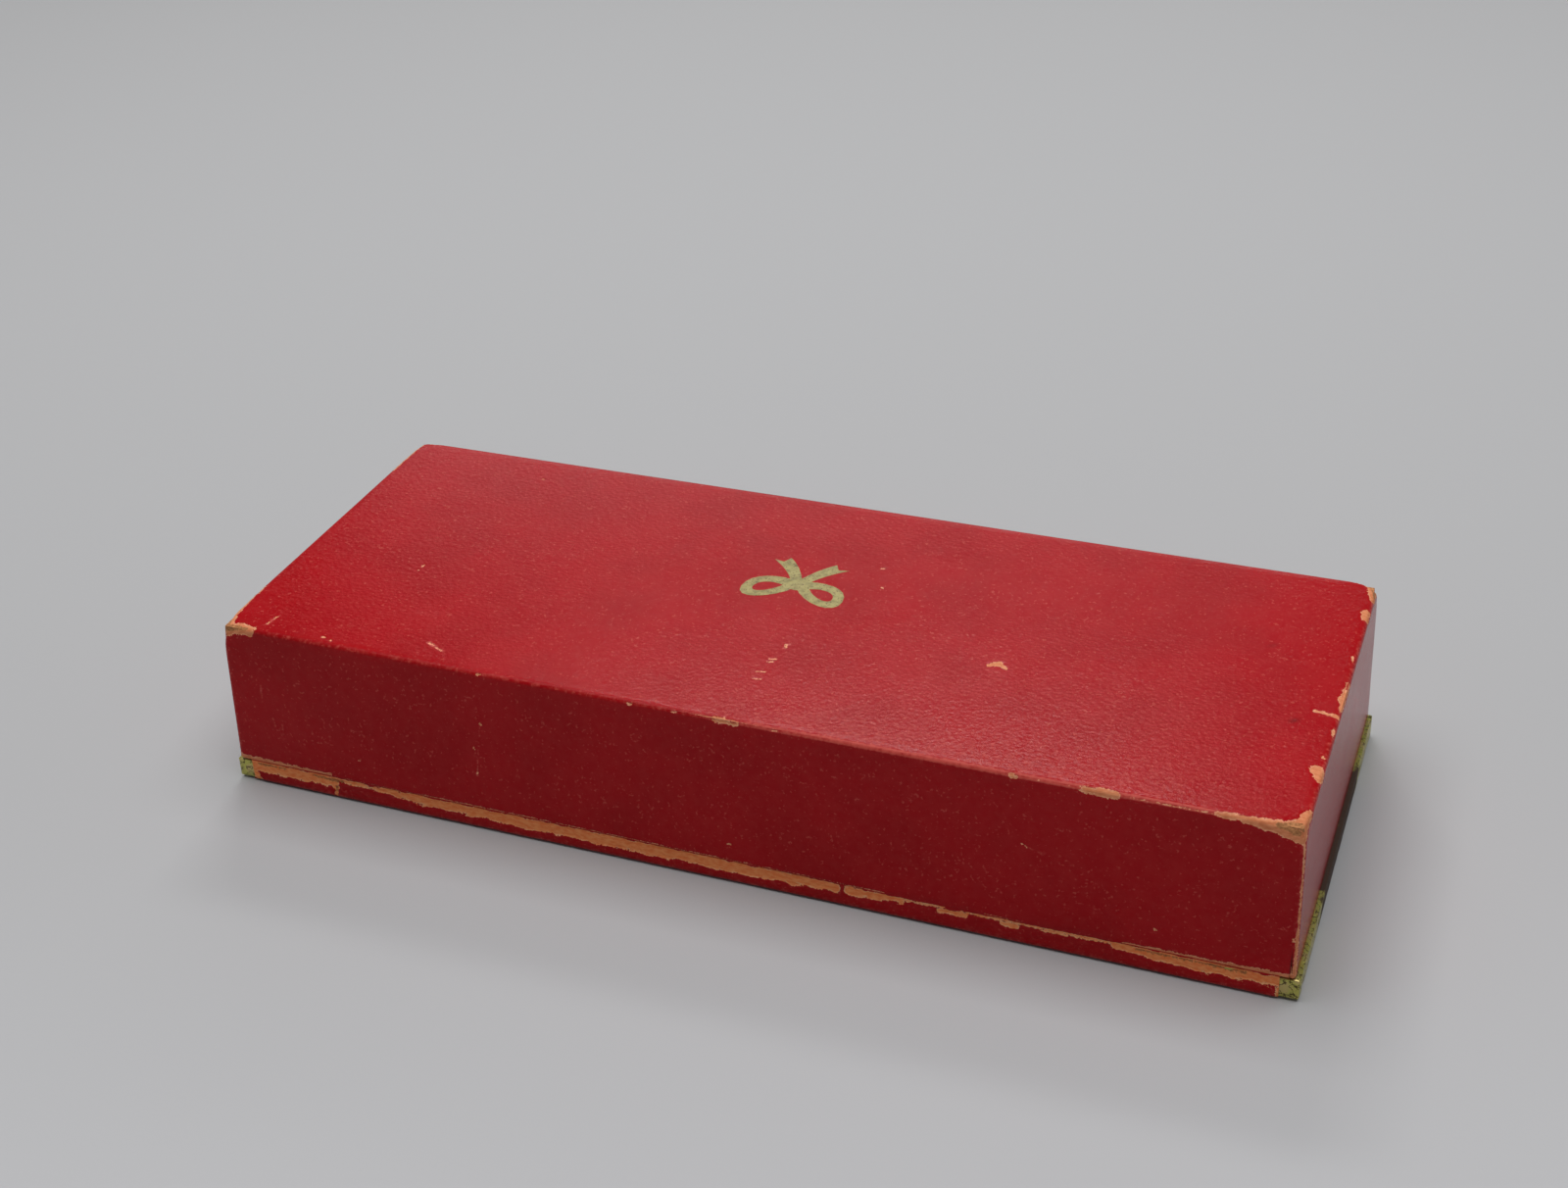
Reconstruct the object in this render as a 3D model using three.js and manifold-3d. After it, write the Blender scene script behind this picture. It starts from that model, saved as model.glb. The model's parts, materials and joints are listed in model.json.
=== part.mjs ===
// A long, hinged presentation box for a watch, bracelet or necklace, built as a box maker builds it:
// greyboard panels, a paper-covered lid whose covering runs on over the hinge, a foil-edged base with a
// collar inside it, a velvet bed with a saddle and two retaining bands, and a satin-lined lid.
//
// Millimetres, +Z up. The origin is the middle of the underside. The front, where the lid opens, faces -Y,
// and the hinge runs along X at the back, on +Y. The lid is closed.

import * as THREE from "three";
import { mergeVertices } from "three/addons/utils/BufferGeometryUtils.js";
import Module from "manifold-3d";

// ---------------------------------------------------------------- Driving dimensions

// Outside of the covered lid, at its lower edge
const LID_LENGTH = 200;
const LID_DEPTH = 79.2;
const LID_HEIGHT = 29.4;
const LID_LEAN_X = 0.7; // how far each end leans in, from the lower edge to the top
const LID_LEAN_Y = 1.4; // how far the front and the back lean in

// How the base shows past the lid
const END_LEDGE = 0.8;
const FRONT_LEDGE = 0.4;
const JOINT_LINE = 0.4; // the open line between the base and the closed lid

// Boards
const LID_WALL = 2;
const LID_TOP_BOARD = 2;
const BASE_BOARD = 3.5;
const COLLAR_BOARD = 2;
const COLLAR_HEIGHT = 11;
const COLLAR_CLEARANCE = 1.2; // collar to lid lining, so that the front can swing past
const BED_CARD = 1.5;
const PAD_CARD = 1;

// Papers and the glue lines between layers
const COVER_PAPER = 0.3;
const FOIL_PAPER = 0.2;
const UNDER_PAPER = 0.3;
const HINGE_TAPE = 0.15;
const STAY_TAPE = 0.2;
const GLUE_LINE = 0.05;

// How far each paper runs past an edge
const COVER_TURN_IN = 10;
const FOIL_TURN_IN = 12;
const FOIL_TOP_MARGIN = 14;
const STRIP_FLAP = 12;
const STRIP_END = 3.3; // the hinge strip stops this far short of each end of the base
const UNDER_PAPER_MARGIN = 1.5;
const TAPE_END = 5;
const TAPE_BACK = 0.6; // the hinge tape's outer edge, in from the back of the base
const STAY_LEG = 14;
const STAY_GAP = 1;

// Lid lining
const LINING = 0.8;
const LINING_REVEAL = 1.5; // covering paper that shows inside the lower edge
const PAD_CLEARANCE = 0.3;
const PAD_WADDING = 3;
const SATIN = 0.3;

// Bed
const BED_CLEARANCE = 0.4;
const BED_FOAM = 4;
const VELVET = 0.6;

// Saddle in the middle of the bed
const SADDLE_LENGTH = 40;
const SADDLE_DEPTH = 30;
const SADDLE_HEIGHT = 4;
const SADDLE_ROUND = 2;

// Retaining bands across the bed
const BAND_OFFSET = 58;
const BAND_WIDTH = 12;
const BAND_SPAN = 26;
const BAND_RISE = 5;
const BAND_THICKNESS = 0.8;
const BAND_ROUND = 3;
const SLIT_CLEARANCE = 0.3;

// Stamped emblem on the lid
const EMBLEM_WIDTH = 20;
const EMBLEM_FOIL = 0.1;
const EMBLEM_OFFSET_X = 2;
const EMBLEM_FORWARD = 6.5; // from the middle of the lid towards the front

const ARC_STEPS = 8;
const PAST = 5; // how far a cutting block runs past what it cuts

// ---------------------------------------------------------------- Places worked out from them

const baseLength = LID_LENGTH + 2 * END_LEDGE;
const baseDepth = LID_DEPTH + FRONT_LEDGE;
const backFace = baseDepth / 2;
const frontFace = -baseDepth / 2;
const lidCentreY = backFace - LID_DEPTH / 2;

const underLayer = COVER_PAPER + 2 * GLUE_LINE; // where the turned-in edges lie, under the base board
const boardLow = UNDER_PAPER + underLayer;
const boardHigh = boardLow + BASE_BOARD;
const baseTop = boardHigh + GLUE_LINE + FOIL_PAPER;

const lidLow = baseTop + JOINT_LINE;
const lidHigh = lidLow + LID_HEIGHT;
const lidBoardHigh = lidHigh - COVER_PAPER - GLUE_LINE;
const lidBoardLow = lidBoardHigh - LID_TOP_BOARD;

// Insets from the outside of the lid to each layer of its walls
const wallInset = COVER_PAPER + GLUE_LINE;
const turnInInset = wallInset + LID_WALL + GLUE_LINE;
const liningInset = turnInInset + COVER_PAPER + GLUE_LINE;
const clearInset = liningInset + LINING;

const standing = baseTop + GLUE_LINE; // what stands on the base starts here
const collarBoardHigh = standing + COLLAR_HEIGHT;
const collarRim = collarBoardHigh + GLUE_LINE + FOIL_PAPER;
const rimShare = (collarRim - lidLow) / LID_HEIGHT;
const collarLength = LID_LENGTH - 2 * (clearInset + COLLAR_CLEARANCE + LID_LEAN_X * rimShare);
const collarDepth = LID_DEPTH - 2 * (clearInset + COLLAR_CLEARANCE + LID_LEAN_Y * rimShare);
const collarWall = COLLAR_BOARD + 2 * (FOIL_PAPER + GLUE_LINE);

const bedLength = collarLength - 2 * (collarWall + BED_CLEARANCE);
const bedDepth = collarDepth - 2 * (collarWall + BED_CLEARANCE);
const bedCore = VELVET + GLUE_LINE; // from the velvet's face to what it covers
const foamLow = standing + BED_CARD + GLUE_LINE;
const foamHigh = foamLow + BED_FOAM;
const bedTop = foamHigh + bedCore;

// ---------------------------------------------------------------- Solids

const wasm = await Module();
wasm.setup();

/** A closed three.js geometry as a manifold solid. */
function solid(geometry) {
  const bare = geometry.clone();
  bare.deleteAttribute("normal");
  bare.deleteAttribute("uv");
  const merged = mergeVertices(bare, 1e-4);
  return new wasm.Manifold(
    new wasm.Mesh({
      numProp: 3,
      vertProperties: merged.attributes.position.array,
      triVerts: new Uint32Array(merged.index.array),
    }),
  );
}

/** A manifold solid as a three.js geometry. */
function geometryOf(shape) {
  const mesh = shape.getMesh();
  return new THREE.BufferGeometry()
    .setAttribute("position", new THREE.BufferAttribute(mesh.vertProperties, mesh.numProp))
    .setIndex(new THREE.BufferAttribute(mesh.triVerts, 1))
    .toNonIndexed();
}

/** An upright block between two heights, centred on (x, y). */
function block(length, depth, low, high, x = 0, y = 0) {
  return solid(new THREE.BoxGeometry(length, depth, high - low).translate(x, y, (low + high) / 2));
}

/** A block whose walls follow the lid's leaning faces, inset from them by insetX and insetY. */
function lidBlock(insetX, insetY, low, high) {
  const box = new THREE.BoxGeometry(LID_LENGTH, LID_DEPTH, high - low);
  box.translate(0, 0, (low + high) / 2);
  const corners = box.attributes.position;
  for (let i = 0; i < corners.count; i++) {
    const share = (corners.getZ(i) - lidLow) / LID_HEIGHT;
    const halfLength = LID_LENGTH / 2 - insetX - LID_LEAN_X * share;
    const halfDepth = LID_DEPTH / 2 - insetY - LID_LEAN_Y * share;
    corners.setX(i, Math.sign(corners.getX(i)) * halfLength);
    corners.setY(i, Math.sign(corners.getY(i)) * halfDepth + lidCentreY);
  }
  return solid(box);
}

/** The four walls between an outer and an inner rectangle, butted at the corners: the long ones run through. */
function fourWalls(make, wall, low, high) {
  const wide = -PAST;
  const long = make(0, 0, low, high).subtract(make(wide, wall, low - PAST, high + PAST));
  const short = make(0, wall + GLUE_LINE, low, high).subtract(make(wall, wide, low - PAST, high + PAST));
  const reach = 2 * LID_LENGTH;
  const half = (x, y) => block(reach, reach, low - reach, high + reach, (x * reach) / 2, (y * reach) / 2);
  return {
    front: long.intersect(half(0, -1)),
    back: long.intersect(half(0, 1)),
    left: short.intersect(half(-1, 0)),
    right: short.intersect(half(1, 0)),
  };
}

/** A flat outline in XY, extruded upwards. */
function plate(shape, low, thickness) {
  const options = { depth: thickness, bevelEnabled: false, curveSegments: ARC_STEPS };
  return solid(new THREE.ExtrudeGeometry(shape, options).translate(0, 0, low));
}

/** An arch profile in YZ, with rounded shoulders, extruded along X and centred on it. */
function arch(span, low, high, round, width) {
  const half = span / 2;
  const profile = new THREE.Shape()
    .moveTo(-half, low)
    .lineTo(half, low)
    .lineTo(half, high - round)
    .absarc(half - round, high - round, round, 0, Math.PI / 2)
    .lineTo(round - half, high)
    .absarc(round - half, high - round, round, Math.PI / 2, Math.PI)
    .closePath();
  const options = { depth: width, bevelEnabled: false, curveSegments: ARC_STEPS };
  const made = new THREE.ExtrudeGeometry(profile, options).translate(0, 0, -width / 2);
  return solid(made.rotateX(Math.PI / 2).rotateZ(Math.PI / 2));
}

// ---------------------------------------------------------------- Base

/** The thick panel that everything stands on. */
function baseBoard() {
  const edge = FOIL_PAPER + GLUE_LINE;
  const back = backFace - COVER_PAPER - GLUE_LINE - edge;
  const front = frontFace + edge;
  return block(baseLength - 2 * edge, back - front, boardLow, boardHigh, 0, (back + front) / 2);
}

/** Foil paper round the base board's edges, turned over its top and under it on all but the hinge side. */
function baseFoil() {
  const back = backFace - COVER_PAPER - GLUE_LINE;
  const depth = back - frontFace;
  const y = (back + frontFace) / 2;
  const low = boardLow - GLUE_LINE - FOIL_PAPER;
  const outer = block(baseLength, depth, low, baseTop, 0, y);
  const board = block(
    baseLength - 2 * FOIL_PAPER, depth - 2 * FOIL_PAPER, boardLow - GLUE_LINE, boardHigh + GLUE_LINE, 0, y,
  );
  const topWindow = block(
    baseLength - 2 * FOIL_TOP_MARGIN, depth - 2 * FOIL_TOP_MARGIN, boardHigh, baseTop + PAST, 0, y,
  );
  const underFront = frontFace + FOIL_TURN_IN;
  const underWindow = block(
    baseLength - 2 * FOIL_TURN_IN, backFace + PAST - underFront, low - PAST, boardLow, 0,
    (backFace + PAST + underFront) / 2,
  );
  const flapRoom = block(
    baseLength + PAST, STRIP_FLAP + GLUE_LINE + PAST, low - PAST, boardLow - GLUE_LINE / 2, 0,
    backFace - STRIP_FLAP - GLUE_LINE + (STRIP_FLAP + GLUE_LINE + PAST) / 2,
  );
  return outer.subtract(board).subtract(topWindow).subtract(underWindow).subtract(flapRoom);
}

/** Plain sheet that hides the turned-in edges and rests on the table. */
function underPaper() {
  const margin = 2 * UNDER_PAPER_MARGIN;
  return block(baseLength - margin, baseDepth - margin, 0, UNDER_PAPER);
}

/** The covering paper's lower end: it comes down from the hinge over the back edge and turns under. */
function hingeStrip() {
  const length = baseLength - 2 * STRIP_END;
  const low = UNDER_PAPER + GLUE_LINE;
  const edge = block(length, COVER_PAPER, low, baseTop, 0, backFace - COVER_PAPER / 2);
  const flap = block(length, STRIP_FLAP, low, low + COVER_PAPER, 0, backFace - STRIP_FLAP / 2);
  return edge.add(flap);
}

/** Cloth tape inside the hinge, glued to the base behind the collar. */
function innerHingeTape() {
  const inner = lidCentreY + collarDepth / 2 + GLUE_LINE;
  const outer = backFace - TAPE_BACK;
  const length = LID_LENGTH - 2 * TAPE_END;
  return block(length, outer - inner, standing, standing + HINGE_TAPE, 0, (outer + inner) / 2);
}

/** Upright block inside the collar's outline, inset from its outer face. */
function collarBlock(insetX, insetY, low, high) {
  return block(collarLength - 2 * insetX, collarDepth - 2 * insetY, low, high, 0, lidCentreY);
}

/** The collar's four boards, which centre the lid as it closes. */
function collarBoards() {
  const skin = FOIL_PAPER + GLUE_LINE;
  const inside = (x, y, low, high) => collarBlock(skin + x, skin + y, low, high);
  return fourWalls(inside, COLLAR_BOARD, standing, collarBoardHigh);
}

/** Foil paper over the collar, inside, outside and along its rim. */
function collarFoil() {
  const skin = FOIL_PAPER;
  const filled = skin + COLLAR_BOARD + 2 * GLUE_LINE;
  const room = collarBlock(skin, skin, standing - PAST, collarBoardHigh + GLUE_LINE)
    .subtract(collarBlock(filled, filled, standing - 2 * PAST, collarRim));
  return collarBlock(0, 0, standing, collarRim)
    .subtract(room)
    .subtract(collarBlock(collarWall, collarWall, standing - PAST, collarRim + PAST));
}

/** Upright block inside the bed's outline, inset from the velvet's face. */
function bedBlock(inset, low, high) {
  return block(bedLength - 2 * inset, bedDepth - 2 * inset, low, high, 0, lidCentreY);
}

/** Velvet over the bed and down its edges, with a slit for each end of each band. */
function bedVelvet() {
  let cover = bedBlock(0, standing, bedTop)
    .subtract(bedBlock(VELVET, standing - PAST, bedTop - VELVET));
  const slitLength = BAND_WIDTH + 2 * SLIT_CLEARANCE;
  const slitWidth = BAND_THICKNESS + 2 * SLIT_CLEARANCE;
  const reach = BAND_SPAN / 2 - BAND_THICKNESS / 2;
  for (const x of [-BAND_OFFSET, BAND_OFFSET]) {
    for (const y of [-reach, reach]) {
      cover = cover.subtract(
        block(slitLength, slitWidth, bedTop - VELVET - PAST / 5, bedTop + PAST, x, lidCentreY + y),
      );
    }
  }
  return cover;
}

/** The saddle's firm core, inside its velvet. */
function saddleCore() {
  const depth = SADDLE_DEPTH - 2 * bedCore;
  const round = SADDLE_ROUND - bedCore;
  const low = bedTop + GLUE_LINE;
  const high = bedTop + SADDLE_HEIGHT - bedCore;
  return arch(depth, low, high, round, SADDLE_LENGTH - 2 * bedCore).translate(0, lidCentreY, 0);
}

/** Velvet over the saddle and down its sides. */
function saddleVelvet() {
  const low = bedTop + GLUE_LINE;
  const high = bedTop + SADDLE_HEIGHT;
  const outer = arch(SADDLE_DEPTH, low, high, SADDLE_ROUND, SADDLE_LENGTH);
  const inner = arch(
    SADDLE_DEPTH - 2 * VELVET, low - PAST, high - VELVET, SADDLE_ROUND - VELVET, SADDLE_LENGTH - 2 * VELVET,
  );
  return outer.subtract(inner).translate(0, lidCentreY, 0);
}

/** One retaining band: a woven strap that arches over the bed, its ends glued down through the slits. */
function band(x) {
  const low = foamHigh + GLUE_LINE;
  const high = bedTop + BAND_RISE + BAND_THICKNESS;
  const outer = arch(BAND_SPAN, low, high, BAND_ROUND, BAND_WIDTH);
  const inner = arch(
    BAND_SPAN - 2 * BAND_THICKNESS, low - PAST, high - BAND_THICKNESS, BAND_ROUND - BAND_THICKNESS,
    BAND_WIDTH + PAST,
  );
  return outer.subtract(inner).translate(x, lidCentreY, 0);
}

// ---------------------------------------------------------------- Lid

/** The lid's covering paper: one sheet over the top and down all four sides, turned in at the lower edge. */
function lidCover() {
  const shell = lidBlock(0, 0, lidLow, lidHigh)
    .subtract(lidBlock(COVER_PAPER, COVER_PAPER, lidLow + COVER_PAPER, lidHigh - COVER_PAPER));
  const inside = turnInInset + COVER_PAPER;
  const turnIn = lidBlock(turnInInset, turnInInset, lidLow, lidLow + COVER_TURN_IN);
  return shell.add(turnIn).subtract(lidBlock(inside, inside, lidLow - PAST, lidLow + COVER_TURN_IN + PAST));
}

/** The lid's top panel. */
function lidTopBoard() {
  return lidBlock(wallInset, wallInset, lidBoardLow, lidBoardHigh);
}

/** The lid's four side boards, under the top panel. */
function lidBoards() {
  const inside = (x, y, low, high) => lidBlock(wallInset + x, wallInset + y, low, high);
  return fourWalls(inside, LID_WALL, lidLow + COVER_PAPER + GLUE_LINE, lidBoardLow - GLUE_LINE);
}

/** Satin-covered card strips that line the lid's sides. */
function lidLinings() {
  const inside = (x, y, low, high) => lidBlock(liningInset + x, liningInset + y, low, high);
  return fourWalls(inside, LINING, lidLow + LINING_REVEAL, lidBoardLow - GLUE_LINE);
}

/** The gummed tape that ties two boards together inside one corner: sideX and sideY are -1 or 1. */
function cornerStay(sideX, sideY) {
  const low = lidLow + COVER_TURN_IN + STAY_GAP;
  const high = lidBoardLow - STAY_GAP;
  const inside = turnInInset + STAY_TAPE;
  const ring = lidBlock(turnInInset, turnInInset, low, high)
    .subtract(lidBlock(inside, inside, low - PAST, high + PAST));
  const x = sideX * (LID_LENGTH / 2 - turnInInset);
  const y = sideY * (LID_DEPTH / 2 - turnInInset) + lidCentreY;
  return ring.intersect(block(2 * STAY_LEG, 2 * STAY_LEG, low, high, x, y));
}

/** The padded panel under the lid's top: card, wadding and the satin round both. */
function lidPad() {
  const face = clearInset + PAD_CLEARANCE;
  const core = face + SATIN + GLUE_LINE;
  const cardHigh = lidBoardLow - GLUE_LINE;
  const cardLow = cardHigh - PAD_CARD;
  const waddingHigh = cardLow - GLUE_LINE;
  const waddingLow = waddingHigh - PAD_WADDING;
  const satinLow = waddingLow - GLUE_LINE - SATIN;
  const wrapped = face + SATIN;
  return {
    card: lidBlock(core, core, cardLow, cardHigh),
    wadding: lidBlock(core, core, waddingLow, waddingHigh),
    satin: lidBlock(face, face, satinLow, cardHigh)
      .subtract(lidBlock(wrapped, wrapped, satinLow + SATIN, cardHigh + PAST)),
  };
}

/** The stamped emblem: a plain ribbon bow, the right way up for someone at the front. */
function emblem() {
  const loop = new THREE.Shape()
    .moveTo(0, 1.2)
    .bezierCurveTo(3.2, 6.4, 10, 8.4, 10, 3.6)
    .bezierCurveTo(10, -1.6, 4, -2.4, 0, -0.8)
    .closePath();
  const eye = new THREE.Shape()
    .moveTo(2.6, 1.1)
    .bezierCurveTo(4.4, 4, 7.9, 5.4, 7.9, 3.2)
    .bezierCurveTo(7.9, 0.9, 5, 0.1, 2.6, 1.1);
  const tail = new THREE.Shape()
    .moveTo(-0.8, -0.2)
    .bezierCurveTo(0.8, -4, 2.4, -6.6, 4.6, -8.6)
    .lineTo(5.5, -6.9)
    .lineTo(7.5, -7.3)
    .bezierCurveTo(4.8, -5.2, 2.6, -2.8, 1.4, 0)
    .closePath();
  const knot = new THREE.Shape().absellipse(0, 0.3, 2, 1.9, 0, 2 * Math.PI);
  const drawnWidth = 20;
  const half = plate(loop, 0, EMBLEM_FOIL)
    .subtract(plate(eye, -PAST, 2 * PAST))
    .add(plate(tail, 0, EMBLEM_FOIL));
  const scale = EMBLEM_WIDTH / drawnWidth;
  return half
    .add(half.mirror([1, 0, 0]))
    .add(plate(knot, 0, EMBLEM_FOIL))
    .scale([scale, scale, 1])
    .translate(EMBLEM_OFFSET_X, lidCentreY - EMBLEM_FORWARD, lidHigh + GLUE_LINE);
}

// ---------------------------------------------------------------- Materials

function finish(color, roughness, metalness = 0) {
  return new THREE.MeshStandardMaterial({ color, roughness, metalness });
}

const redPaper = finish(0xa3171d, 0.45);
const greyboard = finish(0xa8977c, 0.9);
const foilPaper = finish(0x9a8a4a, 0.4, 0.8);
const stampFoil = finish(0xb39a5e, 0.35, 0.9);
const darkPaper = finish(0x2b221d, 0.85);
const tape = finish(0xb08a5a, 0.8);
const satin = finish(0xe9dfc8, 0.45);
const wadding = finish(0xf2efe8, 0.95);
const velvet = finish(0xe2d4b4, 0.95);
const bandCloth = finish(0xdccb9f, 0.7);

// ---------------------------------------------------------------- The box

const base = new THREE.Group();
const lid = new THREE.Group();

function add(group, name, shape, material) {
  const mesh = new THREE.Mesh(geometryOf(shape), material);
  mesh.name = name;
  group.add(mesh);
}

function addWalls(group, prefix, suffix, walls, material) {
  for (const [side, shape] of Object.entries(walls)) {
    add(group, `${prefix}_${side}_${suffix}`, shape, material);
  }
}

add(base, "under_paper", underPaper(), darkPaper);
add(base, "base_board", baseBoard(), greyboard);
add(base, "base_foil_wrap", baseFoil(), foilPaper);
add(base, "hinge_strip", hingeStrip(), redPaper);
add(base, "inner_hinge_tape", innerHingeTape(), redPaper);
addWalls(base, "collar", "board", collarBoards(), greyboard);
add(base, "collar_foil_wrap", collarFoil(), foilPaper);
add(base, "bed_card", bedBlock(bedCore, standing, standing + BED_CARD), greyboard);
add(base, "bed_foam", bedBlock(bedCore, foamLow, foamHigh), wadding);
add(base, "bed_velvet", bedVelvet(), velvet);
add(base, "saddle_core", saddleCore(), wadding);
add(base, "saddle_velvet", saddleVelvet(), velvet);
add(base, "band_left", band(-BAND_OFFSET), bandCloth);
add(base, "band_right", band(BAND_OFFSET), bandCloth);

add(lid, "lid_top_board", lidTopBoard(), greyboard);
addWalls(lid, "lid", "board", lidBoards(), greyboard);
add(lid, "lid_cover_paper", lidCover(), redPaper);
addWalls(lid, "lid", "lining", lidLinings(), satin);
for (const [name, sideX, sideY] of [
  ["front_left", -1, -1], ["front_right", 1, -1], ["back_left", -1, 1], ["back_right", 1, 1],
]) {
  add(lid, `corner_stay_${name}`, cornerStay(sideX, sideY), tape);
}
const pad = lidPad();
add(lid, "lid_pad_card", pad.card, greyboard);
add(lid, "lid_pad_wadding", pad.wadding, wadding);
add(lid, "lid_pad_satin", pad.satin, satin);
add(lid, "foil_emblem", emblem(), stampFoil);

const box = new THREE.Group();
box.add(base, lid);

export default box;
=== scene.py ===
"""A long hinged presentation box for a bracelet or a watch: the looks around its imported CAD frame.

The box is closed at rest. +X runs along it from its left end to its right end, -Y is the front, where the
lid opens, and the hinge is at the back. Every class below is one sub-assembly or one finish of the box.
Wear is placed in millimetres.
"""

from __future__ import annotations

import json
import logging
import math
from collections.abc import Callable, Iterable, Sequence
from dataclasses import dataclass
from enum import Enum

import bmesh
import bpy
import numpy as np
from bmesh.types import BMEdge, BMesh, BMFace, BMVert
from bpy.types import Material, Node, NodeSocket, Object
from mathutils import Matrix, Vector, noise

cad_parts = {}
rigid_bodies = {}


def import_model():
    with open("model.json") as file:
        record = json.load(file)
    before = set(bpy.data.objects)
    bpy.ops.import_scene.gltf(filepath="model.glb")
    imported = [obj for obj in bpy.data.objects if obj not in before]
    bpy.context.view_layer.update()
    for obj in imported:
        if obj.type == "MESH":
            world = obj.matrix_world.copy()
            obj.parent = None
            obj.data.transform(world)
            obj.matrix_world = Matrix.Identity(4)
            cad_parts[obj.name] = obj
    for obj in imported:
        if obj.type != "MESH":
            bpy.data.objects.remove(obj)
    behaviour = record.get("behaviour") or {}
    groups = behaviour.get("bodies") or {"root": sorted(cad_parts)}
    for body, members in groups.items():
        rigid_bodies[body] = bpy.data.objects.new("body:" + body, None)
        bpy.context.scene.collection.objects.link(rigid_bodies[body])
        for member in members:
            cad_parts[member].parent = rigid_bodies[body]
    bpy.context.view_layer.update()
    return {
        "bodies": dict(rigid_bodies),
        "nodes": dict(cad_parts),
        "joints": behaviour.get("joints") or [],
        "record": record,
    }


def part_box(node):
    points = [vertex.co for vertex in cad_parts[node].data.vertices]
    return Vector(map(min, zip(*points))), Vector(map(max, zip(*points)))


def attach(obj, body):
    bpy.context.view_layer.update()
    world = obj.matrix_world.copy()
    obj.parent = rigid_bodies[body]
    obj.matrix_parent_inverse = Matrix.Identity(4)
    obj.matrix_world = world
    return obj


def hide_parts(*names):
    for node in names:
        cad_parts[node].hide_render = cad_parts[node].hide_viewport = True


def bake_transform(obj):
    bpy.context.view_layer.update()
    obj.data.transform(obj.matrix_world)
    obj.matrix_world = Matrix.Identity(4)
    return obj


LOG = logging.getLogger("gift_box")
MM = 0.001
SHARP_FOLD = math.radians(48)  # an edge that turns further than this isn't shaded smooth

# Places on the closed box, in millimetres.
TOP = 34.2  # the lid's top, at its edges
TOP_FACE = 34.25  # the level that rubbing and bowing on the top are counted from
CROWN = 34.3  # the lid's top, at its bowed middle
BACK = 38.4  # the top's back edge
HINGE_FACE = 39.8  # the back of the hinge paper
LID_HIGH = 29.4
LEAN_X = 0.7  # how far the lid's ends lean in between foot and top
LEAN_Y = 1.4  # how far its long sides do

SIDES = ("front", "back", "left", "right")

Point = tuple[float, float, float]
Colour = tuple[float, float, float, float]


class Body(Enum):
    """The two bodies that the hinge joins."""

    BASE = "base"
    LID = "lid"


class Slot(Enum):
    """The names of the record's material slots."""

    COVER = "cover_paper"
    HINGE_TAPE = "hinge_tape"
    FOIL = "foil_paper"
    STAMP = "stamp_foil"
    BOARD = "greyboard"
    LINING = "lining_satin"
    WADDING = "wadding"
    FOAM = "foam"
    VELVET = "velvet"
    BAND = "band_cloth"


class Axis(Enum):
    """A direction of the box, by its index in a vector."""

    LENGTH = 0
    DEPTH = 1
    HEIGHT = 2


# ---------------------------------------------------------------- Small tools


def paint(red: int, green: int, blue: int) -> Colour:
    """A given colour.

    Args:
        red: Red, 0 to 255, as a paint chart gives it.
        green: Green.
        blue: Blue.

    Returns:
        The same colour in the renderer's linear values, opaque.
    """

    def linear(value: int) -> float:
        """One channel in linear values."""
        share = value / 255
        return share / 12.92 if share <= 0.04045 else ((share + 0.055) / 1.055) ** 2.4

    return linear(red), linear(green), linear(blue), 1.0


def smooth_step(value: np.ndarray, low: float, high: float) -> np.ndarray:
    """Rises smoothly from 0 at low to 1 at high."""
    share = np.clip((value - low) / (high - low), 0.0, 1.0)
    return share * share * (3 - 2 * share)


def points_of(verts: Iterable[BMVert]) -> np.ndarray:
    """The places of some vertices, one row each, in millimetres."""
    return np.array([v.co for v in verts], float).reshape(-1, 3) / MM


def ripple(point: Sequence[float], wavelength: float, offset: float = 0.0) -> float:
    """Smooth noise, from -1 to 1.

    Args:
        point: Where, in millimetres.
        wavelength: How far apart the waves are, in millimetres.
        offset: Shifts the pattern, so that two uses differ.

    Returns:
        The noise there.
    """
    return noise.noise(Vector(point) / wavelength + Vector((offset, 2 * offset, -offset)))


def edges_along(edges: Iterable[BMEdge], axis: Axis, longest_only: float = 0.0) -> list[BMEdge]:
    """Those edges that run mostly along an axis.

    Args:
        edges: The edges to choose from.
        axis: The axis.
        longest_only: The shortest edge to take, in metres.

    Returns:
        The chosen edges.
    """
    chosen = []
    for edge in edges:
        run = edge.verts[1].co - edge.verts[0].co
        if run.length > longest_only and abs(run[axis.value]) > 0.8 * run.length:
            chosen.append(edge)
    return chosen


def round_edges(bm: BMesh, edges: list[BMEdge], radius: float, segments: int = 3) -> None:
    """Rounds edges.

    Args:
        bm: The body.
        edges: Its edges to round.
        radius: How round they get, in metres.
        segments: How many faces each rounding has.
    """
    bmesh.ops.bevel(
        bm, geom=edges, offset=radius, offset_type="OFFSET", segments=segments, profile=0.5,
        affect="EDGES", clamp_overlap=True, material=-1,
    )


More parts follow.
